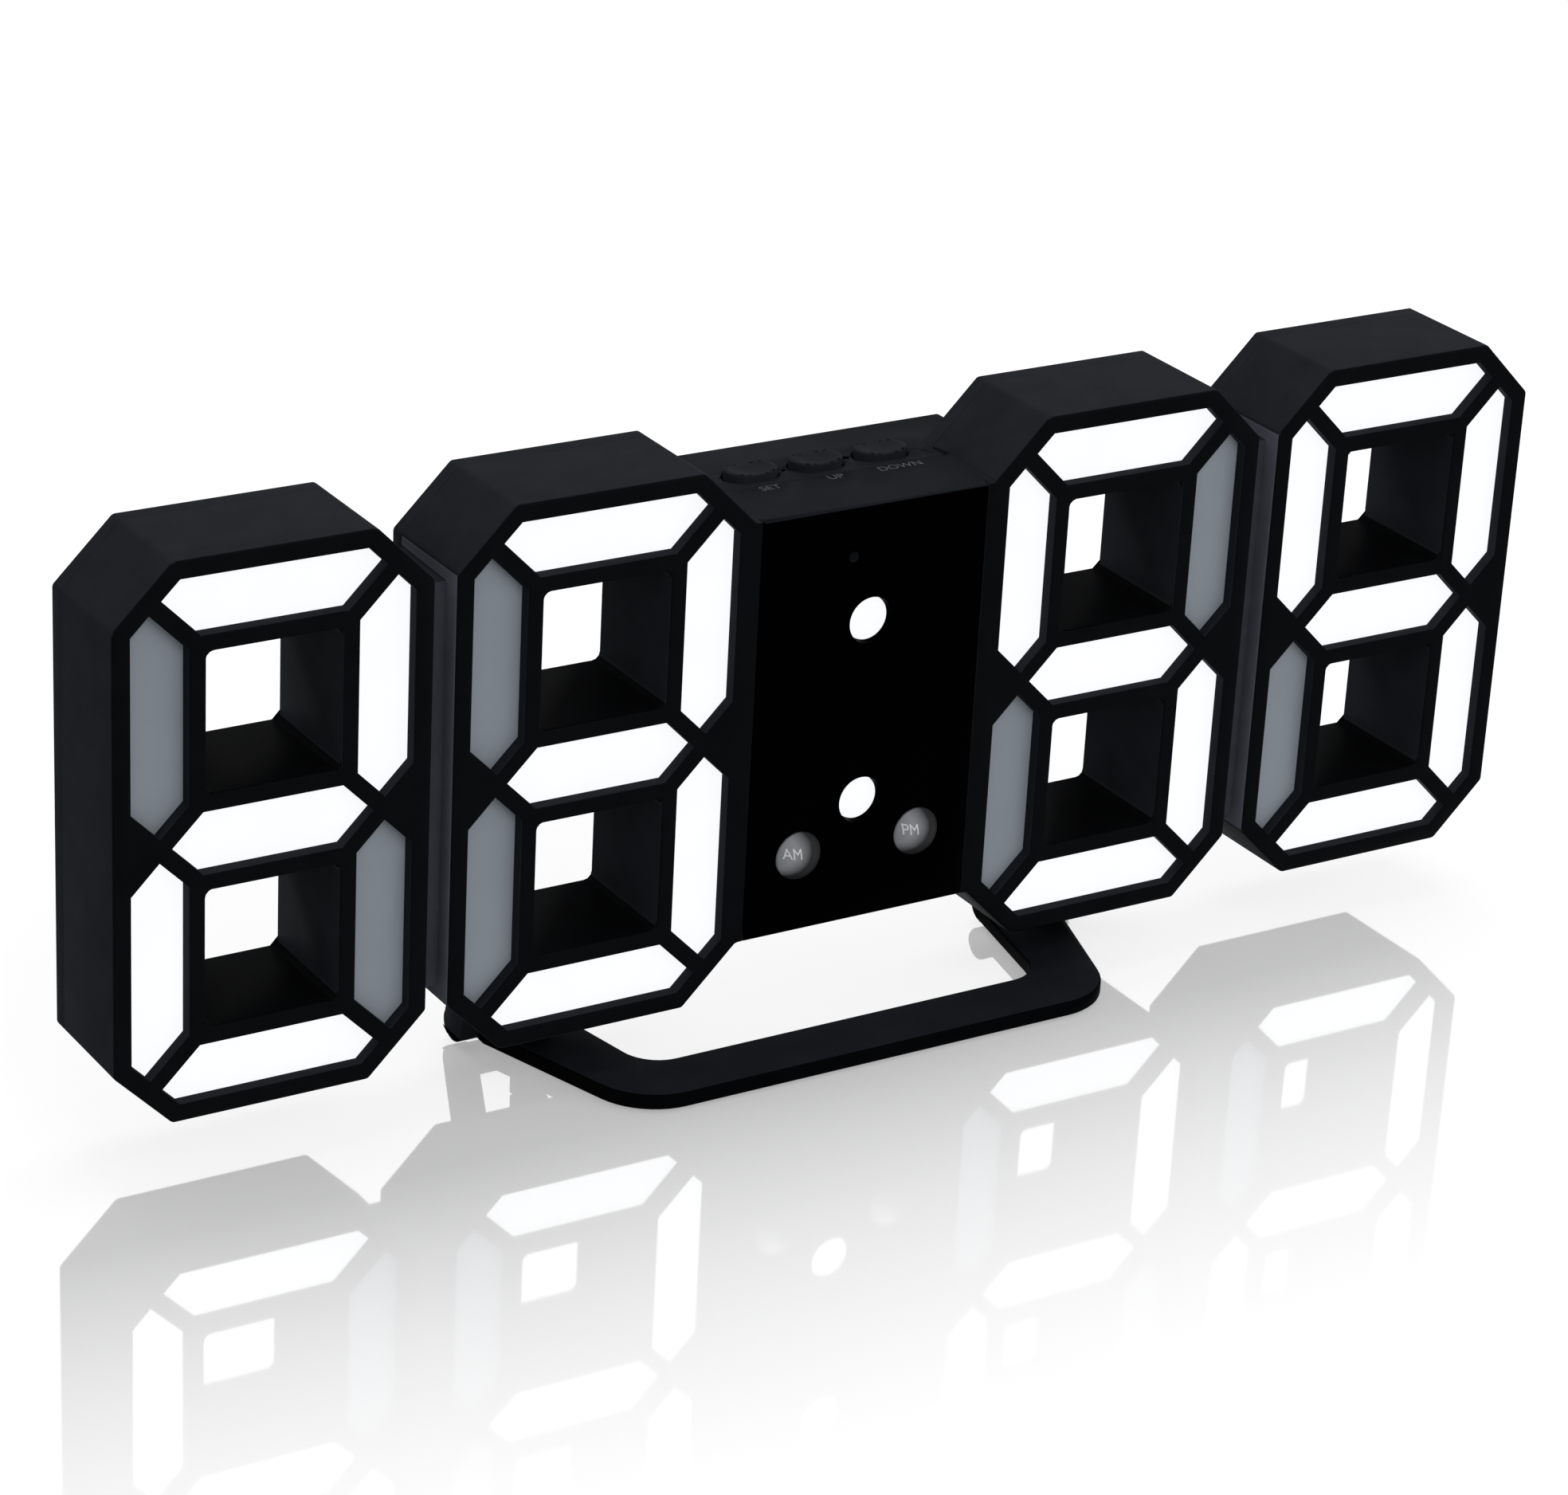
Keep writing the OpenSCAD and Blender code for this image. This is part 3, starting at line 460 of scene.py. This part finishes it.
def finishes():
    """Every finish of the clock by the name of the record's slot, made once."""
    if "made" in FINISHES:
        return FINISHES
    colours = bpy.context.scene.clock_colours
    shell = tuple(colours.shell)
    FINISHES.update(
        black_plastic=moulded("satin_black", shell, SATIN, DULL),
        # Painted shade: a darker black on the faces that look straight ahead
        front_black=moulded("front_black", tuple(colours.front), SATIN, 2 * DULL),
        # Painted shade: the windows' sills get the shell black darkened to 0.15, for the shade deep in the
        # windows
        sill_black=moulded("sill_black", shaded(shell, 0.15), SATIN, DULL),
        # Painted shade: the bar's top gets the shell black darkened to 0.74, for the shade between the tall
        # digits
        bar_black=moulded("bar_black", shaded(shell, 0.74), SATIN, DULL),
        # Painted light: paler blacks in the grooves against their shade, the side walls twice as pale as
        # the webs
        groove_black=moulded("groove_black", tuple(colours.groove_painted_light), 0.5, DULL),
        groove_side=moulded("groove_side", shaded(colours.groove_painted_light, 2.0), 0.5, DULL),
        stand_black=moulded("stand_black", tuple(colours.stand), 0.4, DULL),
        # Painted shade: the stand's walls get its black darkened to 0.15, lit less than its flat top
        stand_edge=moulded("stand_edge", shaded(colours.stand, 0.15), 0.4, DULL),
        # Painted shade: the buttons get the shell black darkened to 0.9, to sit in the bar's shade
        button_black=moulded("button_black", shaded(shell, 0.9), 0.5, 0.003, 0.12 * MM),
        panel_gloss=polished("panel_gloss", tuple(colours.panel), 0.001),
        lens_lit=lit_lens("lens_lit", tuple(colours.lit)),
        lens_dark=dark_lens("lens_dark", tuple(colours.dark)),
        pilot_lens=smoked_lens("pilot_lens", tuple(colours.pilot), "am_lens", "pm_lens"),
        pilot_mark=painted("pilot_mark", tuple(colours.mark)),
        legend=painted("legend", tuple(colours.legend)),
        sensor_tip=polished("sensor_tip", (0.003, 0.0036, 0.0045), 0.02),
        reflector_white=moulded("reflector_white", (0.8, 0.8, 0.77), 0.5, 0.3),
        board_green=circuit("board_green", tuple(colours.board)),
        led_chip=painted("led_chip", (0.85, 0.72, 0.3)),
        black_part=moulded("black_part", (0.012, 0.012, 0.013), 0.5, 0.3),
        steel=plated("steel", tuple(colours.metal)),
        contact_brass=plated("contact_brass", (0.62, 0.45, 0.16)),
        capacitor_sleeve=polished("capacitor_sleeve", (0.03, 0.036, 0.05), 0.4),
        pad_rubber=moulded("pad_rubber", (0.014, 0.014, 0.015), 0.75, 0.2, 0.3 * MM, 0.02 * MM),
        made=None,
    )
    return FINISHES


# Pieces made from the frame


def new_piece(name, mesh):
    """An object at the origin that holds a mesh."""
    piece = bpy.data.objects.new(name, mesh)
    bpy.context.scene.collection.objects.link(piece)
    return piece


def settle(piece):
    """Turns a piece and its modifiers into a plain mesh."""
    graph = bpy.context.evaluated_depsgraph_get()
    mesh = bpy.data.meshes.new_from_object(piece.evaluated_get(graph))
    mesh.name = piece.name
    piece.modifiers.clear()
    piece.data = mesh
    return piece


def paint(piece, slot):
    """Gives a piece the finish of a slot."""
    piece.data.materials.clear()
    piece.data.materials.append(finishes()[slot])
    return piece


def dress(piece, body, slot, *nodes):
    """Finishes a piece, rides it on a body and lets it stand for its nodes."""
    paint(piece, slot)
    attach(piece, body)
    if nodes:
        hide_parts(*nodes)
    return piece


def merged(node):
    """A node's mesh with its loose triangles joined into whole faces."""
    solid = bmesh.new()
    solid.from_mesh(NODES[node].data)
    bmesh.ops.remove_doubles(solid, verts=solid.verts, dist=SAME_POINT)
    bmesh.ops.dissolve_limit(
        solid, angle_limit=SAME_FACE, verts=solid.verts, edges=solid.edges, delimit={"NORMAL"}
    )
    return solid


def eased(node, radius_at):
    """A copy of a node whose sharp edges are rounded by the radius that radius_at gives for each."""
    solid = merged(node)
    weight = solid.edges.layers.float.new("bevel_weight_edge")
    chosen = {}
    for edge in solid.edges:
        if edge.is_manifold and edge.calc_face_angle() > SHARP:
            chosen[edge] = radius_at(edge)
    widest = max([*chosen.values(), 0.01 * MM])
    for edge, radius in chosen.items():
        edge[weight] = radius / widest
        edge.smooth = radius > 0
    mesh = bpy.data.meshes.new(node + "_eased")
    solid.to_mesh(mesh)
    solid.free()
    mesh.shade_smooth()
    piece = new_piece(mesh.name, mesh)
    bevel = piece.modifiers.new("Eased edges", "BEVEL")
    bevel.limit_method = "WEIGHT"
    bevel.width = widest
    bevel.segments = ROUND_STEPS
    bevel.use_clamp_overlap = False
    bevel.harden_normals = True
    bevel.loop_slide = True
    return settle(piece)


def centre_of(node):
    """The middle of a node's box."""
    low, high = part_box(node)
    return (low + high) / 2


def islands(node):
    """The corners of each separate piece of a node, as lists of points."""
    solid = merged(node)
    left = set(solid.verts)
    found = []
    while left:
        front = [left.pop()]
        island = []
        while front:
            vert = front.pop()
            island.append(vert.co.copy())
            near = {edge.other_vert(vert) for edge in vert.link_edges} & left
            left -= near
            front.extend(near)
        found.append(island)
    solid.free()
    return found


def box_of(points):
    """The low and the high corner of some points."""
    low = Vector([min(p[i] for p in points) for i in range(3)])
    high = Vector([max(p[i] for p in points) for i in range(3)])
    return low, high


class FrontPlan:
    """Where the digits' outlines and windows are, read from the frame."""

    def __init__(self):
        low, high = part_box("front_shell")
        self.face = low.y
        lens_low, lens_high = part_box("digit_1_reflector")
        self.middle = (lens_low.z + lens_high.z) / 2
        self.digits = [centre_of(f"digit_{k}_reflector").x for k in DIGITS]
        self.half_w = self.digits[0] - low.x
        self.half_h = high.z - self.middle
        self.bar = self.digits[2] - self.half_w
        bar_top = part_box("centre_panel")[1].z - self.middle
        self.corner = self.half_w + bar_top
        self.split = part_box("rear_cover")[0].y
        ring = [v.co for v in NODES["front_shell"].data.vertices if v.co.y > high.y - 0.01 * MM]
        self.window_half = min(self.across(point) for point in ring)
        heights = sorted({round(abs(point.z - self.middle), 5) for point in ring})
        self.window_low, self.window_high = heights[1:3]

    def across(self, point):
        """Sideways distance from a point to the middle of the nearest digit."""
        return min(abs(point.x - x) for x in self.digits)

    def in_window(self, point, slack=0.4 * MM):
        """Whether a point lies on the wall of a window."""
        up = abs(point.z - self.middle)
        beside = self.across(point) < self.window_half + slack
        return beside and self.window_low - slack < up < self.window_high + slack

    def in_groove(self, point, slack=0.1 * MM):
        """Whether a point lies in the front of a groove between two digits."""
        outside = self.across(point) > self.half_w - slack and abs(point.x) > self.digits[2]
        return outside and abs(point.x) < self.digits[3] and point.y < self.split - 1 * MM

    def on_outline(self, point, slack=0.4 * MM):
        """Whether a point lies on the outer wall of a digit, or on the bar's top or bottom."""
        across = self.across(point)
        up = abs(point.z - self.middle)
        return (
            across > self.half_w - slack
            or up > self.half_h - slack
            or across + up > self.corner - slack
        )


class CLOCK_OT_shells(bpy.types.Operator):
    """Rounds the edges of the front shell and the rear cover"""

    bl_idname = "clock.shells"
    bl_label = "Shells"

    def execute(self, context):
        sizes = context.scene.clock_sizes
        plan = FrontPlan()
        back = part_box("rear_cover")[1].y
        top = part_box("centre_panel")[1].z
        side = max(v.co.x for v in NODES["rear_cover"].data.vertices if v.co.y > back - NEAR)

        def front_radius(edge):
            middle = (edge.verts[0].co + edge.verts[1].co) / 2
            along = abs((edge.verts[1].co - edge.verts[0].co).normalized().y)
            at_face = abs(middle.y - plan.face) < NEAR
            if plan.in_window(middle):
                if along > 0.9:
                    return sizes.window_corner
                return sizes.window_round if at_face else 0.0
            if abs(middle.x) < plan.bar - 0.1 * MM:
                return sizes.small_round if at_face else 0.0
            if at_face and plan.on_outline(middle):
                return sizes.outline_round
            if at_face:
                return sizes.segment_round
            if along > 0.9 and plan.on_outline(middle) and middle.y < plan.split:
                return sizes.corner_round
            return 0.0

        def rear_radius(edge):
            middle = (edge.verts[0].co + edge.verts[1].co) / 2
            along = abs((edge.verts[1].co - edge.verts[0].co).normalized().y)
            at_back = middle.y > back - NEAR
            if at_back and (abs(middle.x) > side - NEAR or middle.z > top - NEAR):
                return sizes.housing_round
            if edge.is_convex and plan.on_outline(middle):
                return sizes.corner_round if along > 0.9 else sizes.small_round
            return 0.0

        def on_bar(face):
            return face.normal.z > 0.5 and abs(face.center.x) < side and abs(face.center.z - top) < 0.5 * MM

        # Paints light and shade by where faces lie and face: paler grooves, darker fronts, sills and bar
        # top
        def front_slot(face):
            if plan.in_groove(face.center) and face.normal.z < 0.5:
                return "groove_side" if abs(face.normal.x) > 0.5 else "groove_black"
            if face.normal.y < -0.7 and face.center.y < plan.face + 0.5 * MM:
                return "front_black"
            if plan.in_window(face.center) and face.normal.z > 0.3:
                return "sill_black"
            return "bar_black" if on_bar(face) else "black_plastic"

        shell = dress(eased("front_shell", front_radius), BODY, "black_plastic", "front_shell")
        slots = ["black_plastic", "front_black", "sill_black", "groove_black", "groove_side", "bar_black"]
        for slot in slots[1:]:
            shell.data.materials.append(finishes()[slot])
        for face in shell.data.polygons:
            face.material_index = slots.index(front_slot(face))
        cover = dress(eased("rear_cover", rear_radius), BODY, "black_plastic", "rear_cover")
        # Painted shade: the cover's faces on the bar's top get the darker bar black
        cover.data.materials.append(finishes()["bar_black"])
        for face in cover.data.polygons:
            face.material_index = int(on_bar(face))
        return {"FINISHED"}


class CLOCK_OT_lenses(bpy.types.Operator):
    """Lights the segments of the time and greys the others"""

    bl_idname = "clock.lenses"
    bl_label = "Segment Lenses"

    def execute(self, context):
        for k in DIGITS:
            paint(NODES[f"digit_{k}_lit"], "lens_lit")
            paint(NODES[f"digit_{k}_unlit"], "lens_dark")
        return {"FINISHED"}


class CLOCK_OT_bar(bpy.types.Operator):
    """Makes the centre bar's panel, colon, indicators and sensor"""

    bl_idname = "clock.bar"
    bl_label = "Centre Bar"

    def execute(self, context):
        sizes = context.scene.clock_sizes

        def small(edge):
            return sizes.small_round if edge.is_convex else 0.0

        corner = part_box("centre_panel")

        def front_only(edge):
            return small(edge) if max(vert.co.y for vert in edge.verts) < corner[0].y + 0.1 * MM else 0.0

        panel = dress(eased("centre_panel", front_only), BODY, "panel_gloss", "centre_panel")
        # Painted shade: the panel's top strip gets the darker bar black
        panel.data.materials.append(finishes()["bar_black"])
        for face in panel.data.polygons:
            face.material_index = int(face.normal.z > 0.3 and face.center.z > corner[1].z - 1 * MM)
        dress(eased("colon_lenses", small), BODY, "lens_lit", "colon_lenses")
        dress(eased("light_sensor", small), BODY, "sensor_tip", "light_sensor")
        for node, word in (("am_lens", "AM"), ("pm_lens", "PM")):
            dress(eased(node, lambda edge: 0.0), BODY, "pilot_lens", node)
            middle = centre_of(node)
            middle.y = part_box(node)[0].y + dome_radius(node)
            reach = dome_radius(node) + sizes.letter_relief

            def on_dome(x, y, lift, middle=middle, reach=reach):
                x, z = x * sizes.letter_width - sizes.letter_left, y + sizes.letter_up
                out = Vector((x, -math.sqrt(reach * reach - x * x - z * z), z))
                return middle + out * (1 + lift / reach)

            letters = lettering(word, sizes.letter_height, on_dome, sizes.letter_relief)
            paint(letters, "pilot_mark")
            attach(letters, BODY)
        return {"FINISHED"}


def lettering(word, height, place, relief):
    """Small letters laid on a surface: place gives the point for a letter's x, y and lift above it."""
    curve = bpy.data.curves.new(word.lower() + "_letters", "FONT")
    curve.body = word
    curve.align_x = "CENTER"
    curve.align_y = "CENTER"
    curve.size = height / 0.7
    text = bpy.data.objects.new("letter_source", curve)
    bpy.context.scene.collection.objects.link(text)
    graph = bpy.context.evaluated_depsgraph_get()
    mesh = bpy.data.meshes.new_from_object(text.evaluated_get(graph))
    bpy.data.objects.remove(text)
    mesh.name = word.lower() + "_letters"
    solid = bmesh.new()
    solid.from_mesh(mesh)
    bmesh.ops.subdivide_edges(solid, edges=solid.edges, cuts=2, use_grid_fill=True)
    flat = {vert: vert.co.xy for vert in solid.verts}
    grown = bmesh.ops.extrude_face_region(solid, geom=solid.faces[:])
    sunk = {item: item.co.xy for item in grown["geom"] if isinstance(item, bmesh.types.BMVert)}
    for spots, lift in ((flat, 0.0), (sunk, -3 * relief)):
        for vert, spot in spots.items():
            vert.co = place(spot.x, spot.y, lift)
    bmesh.ops.recalc_face_normals(solid, faces=solid.faces)
    solid.to_mesh(mesh)
    solid.free()
    return new_piece(mesh.name, mesh)


def rod_radius(node):
    """Radius of a lens where it passes the panel."""
    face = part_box("centre_panel")[0].y
    middle = centre_of(node).xz
    return min((v.co.xz - middle).length for v in NODES[node].data.vertices if v.co.y > face)


def dome_radius(node):
    """Radius of a lens's domed front, from its rod's radius and how far it stands out of the panel."""
    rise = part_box("centre_panel")[0].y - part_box(node)[0].y
    return (rod_radius(node) ** 2 + rise * rise) / (2 * rise)


class CLOCK_OT_buttons(bpy.types.Operator):
    """Rounds the dished buttons on top of the bar and prints a word before each"""

    bl_idname = "clock.buttons"
    bl_label = "Buttons"

    def execute(self, context):
        sizes = context.scene.clock_sizes
        bar_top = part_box("centre_panel")[1].z
        for node, word in (("set_button", "SET"), ("up_button", "UP"), ("down_button", "DOWN")):
            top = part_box(node)[1].z
            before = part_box(node)[0].y - sizes.legend_gap
            spot = Vector((centre_of(node).x, before, bar_top + sizes.letter_relief))

            def on_top(x, y, lift, spot=spot):
                return spot + Vector((x, y, lift))

            words = lettering(word, sizes.legend_height, on_top, sizes.letter_relief)
            paint(words, "legend")
            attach(words, BODY)

            def radius(edge, top=top):
                high = max(v.co.z for v in edge.verts)
                return 1.5 * sizes.small_round if edge.is_convex and high > top - 1.0 * MM else 0.0

            dress(eased(node, radius), node, "button_black", node)
        return {"FINISHED"}


class CLOCK_OT_stand(bpy.types.Operator):
    """Rounds the loop stand and puts ribbed pads under it"""

    bl_idname = "clock.stand"
    bl_label = "Stand"

    def execute(self, context):
        sizes = context.scene.clock_sizes
        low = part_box("stand")[0]
        front_bar = [v.co.z for v in NODES["stand"].data.vertices if v.co.y < low.y + 4 * MM]
        plate_top = max(front_bar)
        pads = [box_of(points) for points in islands("stand_pads")]

        def near_pad(point):
            return any(
                ((a + b) / 2 - point).xy.length < (b.x - a.x) / 2 + 0.5 * MM for a, b in pads
            )

        def radius(edge):
            middle = (edge.verts[0].co + edge.verts[1].co) / 2
            up = abs((edge.verts[1].co - edge.verts[0].co).normalized().z)
            at_rim = abs(middle.z - plate_top) < NEAR or abs(middle.z - low.z) < NEAR
            if edge.is_convex and at_rim and not near_pad(middle):
                return sizes.stand_round
            return sizes.small_round if edge.is_convex and up < 0.9 else 0.0

        stand = dress(eased("stand", radius), "stand", "stand_black", "stand")
        # Painted shade: walls get the darker copy of the stand's black
        stand.data.materials.append(finishes()["stand_edge"])
        for face in stand.data.polygons:
            face.material_index = int(abs(face.normal.z) < 0.8)
        dress(self.ribbed_pads(pads, sizes), "stand", "pad_rubber", "stand_pads")
        paint(NODES["hinge_pins"], "steel")
        return {"FINISHED"}

    @staticmethod
    def ribbed_pads(pads, sizes):
        """Round pads with straight ribs on the underside."""
        low, high = pads[0]
        tree = Pattern(
            "Ribbed pads",
            Radius=(high.x - low.x) / 2,
            Thickness=high.z - low.z,
            Rib_Step=sizes.tread_step,
            Rib_Height=sizes.tread_height,
            Rib_Count=int((high.x - low.x) / sizes.tread_step),
            Material=finishes()["pad_rubber"],
        )
        radius, rib = tree["Radius"], tree["Rib Height"]
        row = (tree["Rib Count"] - 1.0) * tree["Rib Step"]
        start, step = tree.vector(row * -0.5), tree.vector(tree["Rib Step"])
        sockets = {"Count": tree["Rib Count"], "Start Location": start, "Offset": step}
        line = tree.node("GeometryNodeMeshLine", {}, sockets)
        ribs = tree.spread(line, tree.block(tree["Rib Step"] * 0.55, radius * 3.0, rib * 4.0))
        ribs = tree.cut("INTERSECT", Mesh_2=[ribs, tree.drum(radius, rib * 0.0, rib * 1.5)])
        form = tree.joined(tree.drum(radius, rib, tree["Thickness"]), ribs)
        places = [((a.x + b.x) / 2, (a.y + b.y) / 2, a.z) for a, b in pads]
        return tree.make("ribbed_pads", form, places)


class CLOCK_OT_back(bpy.types.Operator):
    """Finishes the battery door, the screws and the power inlet"""

    bl_idname = "clock.back"
    bl_label = "Back Fittings"

    def execute(self, context):
        sizes = context.scene.clock_sizes

        def small(edge):
            return sizes.small_round / 2 if edge.is_convex else 0.0

        dress(eased("battery_door", small), "battery_door", "black_plastic", "battery_door")
        dress(self.screws(sizes), BODY, "steel", "cover_screws")
        dress(eased("power_inlet", small), BODY, "black_part", "power_inlet")
        return {"FINISHED"}

    @staticmethod
    def screws(sizes):
        """Screws with a chamfered head and a cross in it, where the frame has them."""
        found = islands("cover_screws")
        low, high = box_of(found[0])
        middle = (low + high) / 2
        rims = [p.y for p in found[0] if (p - middle).xz.length > 0.45 * (high.x - low.x)]
        shank = max((p - middle).xz.length for p in found[0] if p.y < low.y + 0.01 * MM)
        tree = Pattern(
            "Cover screws",
            Head_Radius=(high.x - low.x) / 2,
            Head_Height=max(rims) - min(rims),
            Head_Easing=sizes.head_ease,
            Shank_Radius=shank,
            Length=high.y - low.y,
            Slot_Length=sizes.slot_length,
            Slot_Width=sizes.slot_width,
            Slot_Depth=sizes.slot_depth,
            Material=finishes()["steel"],
        )
        head, ease = tree["Head Radius"], tree["Head Easing"]
        drum = tree.drum(head, tree["Head Height"] * -1.0, ease * -1.0)
        cone = tree.node(
            "GeometryNodeMeshCone", {},
            {"Vertices": 48, "Radius Top": head - ease, "Radius Bottom": head, "Depth": ease},
        )
        crown = tree.moved(cone, tree.vector(z=ease * -1.0))
        whole = tree.cut("UNION", Mesh_2=[drum, crown])
        bar = tree.block(tree["Slot Length"], tree["Slot Width"], tree["Slot Depth"] * 2.0)
        turned = tree.moved(bar, (0, 0, 0), (0, 0, math.pi / 2))
        slotted = tree.cut("DIFFERENCE", Mesh_1=whole, Mesh_2=[bar, turned])
        rod = tree.drum(tree["Shank Radius"], tree["Length"] * -1.0, tree["Head Height"] * -0.5, 24)
        form = tree.moved(tree.joined(slotted, rod), (0, 0, 0), (-math.pi / 2, 0, 0))
        boxes = [box_of(points) for points in found]
        places = [((a.x + b.x) / 2, b.y, (a.z + b.z) / 2) for a, b in boxes]
        return tree.make("cover_screw_set", form, places)


class CLOCK_OT_works(bpy.types.Operator):
    """Finishes the boards, lamps and parts inside"""

    bl_idname = "clock.works"
    bl_label = "Inner Works"

    def execute(self, context):
        slots = {row["node"]: row["material_slot"] for row in frame["record"]["subparts"]}
        for name, node in NODES.items():
            if not node.hide_render:
                paint(node, slots[name])
        return {"FINISHED"}


class CLOCK_OT_stage(bpy.types.Operator):
    """Makes the floor, the lamps, the sky and the camera"""

    bl_idname = "clock.stage"
    bl_label = "Studio"

    def execute(self, context):
        scene = context.scene
        scene.view_settings.view_transform = "Standard"
        studio = scene.clock_studio
        self.floor(studio)
        self.sky(scene, studio)
        for name, (size, place) in LAMPS.items():
            self.lamp(name + "_lamp", getattr(studio, name), size, place)
        self.camera(scene)
        return {"FINISHED"}

    @staticmethod
    def floor(studio):
        mesh = bpy.data.meshes.new("floor")
        corners = [(-1, -1), (1, -1), (1, 1), (-1, 1)]
        z = CAD_BOX[0].z - FLOOR_DROP
        mesh.from_pydata([(x * FLOOR_HALF, y * FLOOR_HALF, z) for x, y in corners], [], [(0, 1, 2, 3)])
        floor = new_piece("floor", mesh)
        finish = Finish("pale_floor", Roughness=0.6, Specular_IOR_Level=0.0, Emission_Strength=1.0)
        finish.shader.inputs["Base Color"].default_value = (0.5, 0.5, 0.505, 1)
        finish.feed("Emission Color", finish.between(finish.seen(), (0, 0, 0), (0.62, 0.62, 0.62)))
        mirror = finish.node("ShaderNodeBsdfGlossy", {}, {"Color": (1, 1, 1, 1), "Roughness": 0.04})
        beside = finish.node("ShaderNodeMath", {"operation": "ABSOLUTE"}, {0: finish.along("Y")})
        away = beside - CAD_BOX[1].y
        near = finish.node("ShaderNodeClamp", {}, {0: 1.0 - away / studio.shine_reach})
        blend = finish.node("ShaderNodeMixShader", {}, {0: near * near * studio.shine, 2: mirror})
        finish.tree.links.new(finish.shader.outputs[0], blend.socket.node.inputs[1])
        finish.tree.links.new(blend.socket, finish.tree.nodes["Material Output"].inputs["Surface"])
        mesh.materials.append(finish.material)

    @staticmethod
    def sky(scene, studio):
        world = bpy.data.worlds.new("studio_sky")
        scene.world = world
        world.use_nodes = True
        maker = NodeMaker(world.node_tree)
        strength = maker.seen() * (1.0 - studio.sky) + studio.sky
        background = world.node_tree.nodes["Background"]
        background.inputs["Color"].default_value = (1, 1, 1, 1)
        world.node_tree.links.new(strength.socket, background.inputs["Strength"])

    @staticmethod
    def lamp(name, power, size, place):
        light = bpy.data.lights.new(name, "AREA")
        light.energy = power
        light.shape = "DISK"
        light.size = size
        lamp = bpy.data.objects.new(name, light)
        lamp.location = place
        aim = (CAD_BOX[0] + CAD_BOX[1]) / 2 - Vector(place)
        lamp.rotation_euler = aim.to_track_quat("-Z", "Y").to_euler()
        bpy.context.scene.collection.objects.link(lamp)

    @staticmethod
    def camera(scene):
        data = bpy.data.cameras.new("camera")
        data.sensor_width = SENSOR_W
        data.lens = FOCAL_PIXELS * SENSOR_W / IMAGE_W
        data.clip_start = 0.02
        data.clip_end = 30.0
        camera = bpy.data.objects.new("camera", data)
        level = math.cos(CAMERA_DOWN)
        across, along = math.sin(CAMERA_TURN) * level, math.cos(CAMERA_TURN) * level
        ahead = Vector((across, along, -math.sin(CAMERA_DOWN)))
        right = ahead.cross(Vector((0, 0, 1))).normalized()
        up = right.cross(ahead)
        leaned_up = up * math.cos(CAMERA_ROLL) + right * math.sin(CAMERA_ROLL)
        leaned_right = ahead.cross(leaned_up)
        turn = Matrix((leaned_right, leaned_up, -ahead)).transposed()
        camera.matrix_world = Matrix.Translation(CAMERA_AT) @ turn.to_4x4()
        scene.collection.objects.link(camera)
        scene.camera = camera


class CLOCK_PT_panel(bpy.types.Panel):
    """Lists the clock's pieces in the sidebar"""

    bl_idname = "CLOCK_PT_panel"
    bl_label = "LED Numeral Clock"
    bl_space_type = "VIEW_3D"
    bl_region_type = "UI"
    bl_category = "Clock"

    def draw(self, context):
        for operator in PIECES:
            self.layout.operator(operator.bl_idname)
        for group in (context.scene.clock_sizes, context.scene.clock_colours, context.scene.clock_studio):
            box = self.layout.box()
            for name in group.__annotations__:
                box.prop(group, name)


PIECES = (
    CLOCK_OT_stage,
    CLOCK_OT_shells,
    CLOCK_OT_lenses,
    CLOCK_OT_bar,
    CLOCK_OT_buttons,
    CLOCK_OT_stand,
    CLOCK_OT_back,
    CLOCK_OT_works,
)
GROUPS = {"clock_sizes": ClockSizes, "clock_colours": ClockColours, "clock_studio": ClockStudio}


def register():
    for group in GROUPS.values():
        bpy.utils.register_class(group)
    for name, group in GROUPS.items():
        setattr(bpy.types.Scene, name, bpy.props.PointerProperty(type=group))
    for operator in (*PIECES, CLOCK_PT_panel):
        bpy.utils.register_class(operator)


def unregister():
    for operator in reversed((*PIECES, CLOCK_PT_panel)):
        bpy.utils.unregister_class(operator)
    for name, group in GROUPS.items():
        delattr(bpy.types.Scene, name)
        bpy.utils.unregister_class(group)


def main():
    register()
    for operator in PIECES:
        group, name = operator.bl_idname.split(".")
        getattr(getattr(bpy.ops, group), name)()


if __name__ == "__main__":
    main()
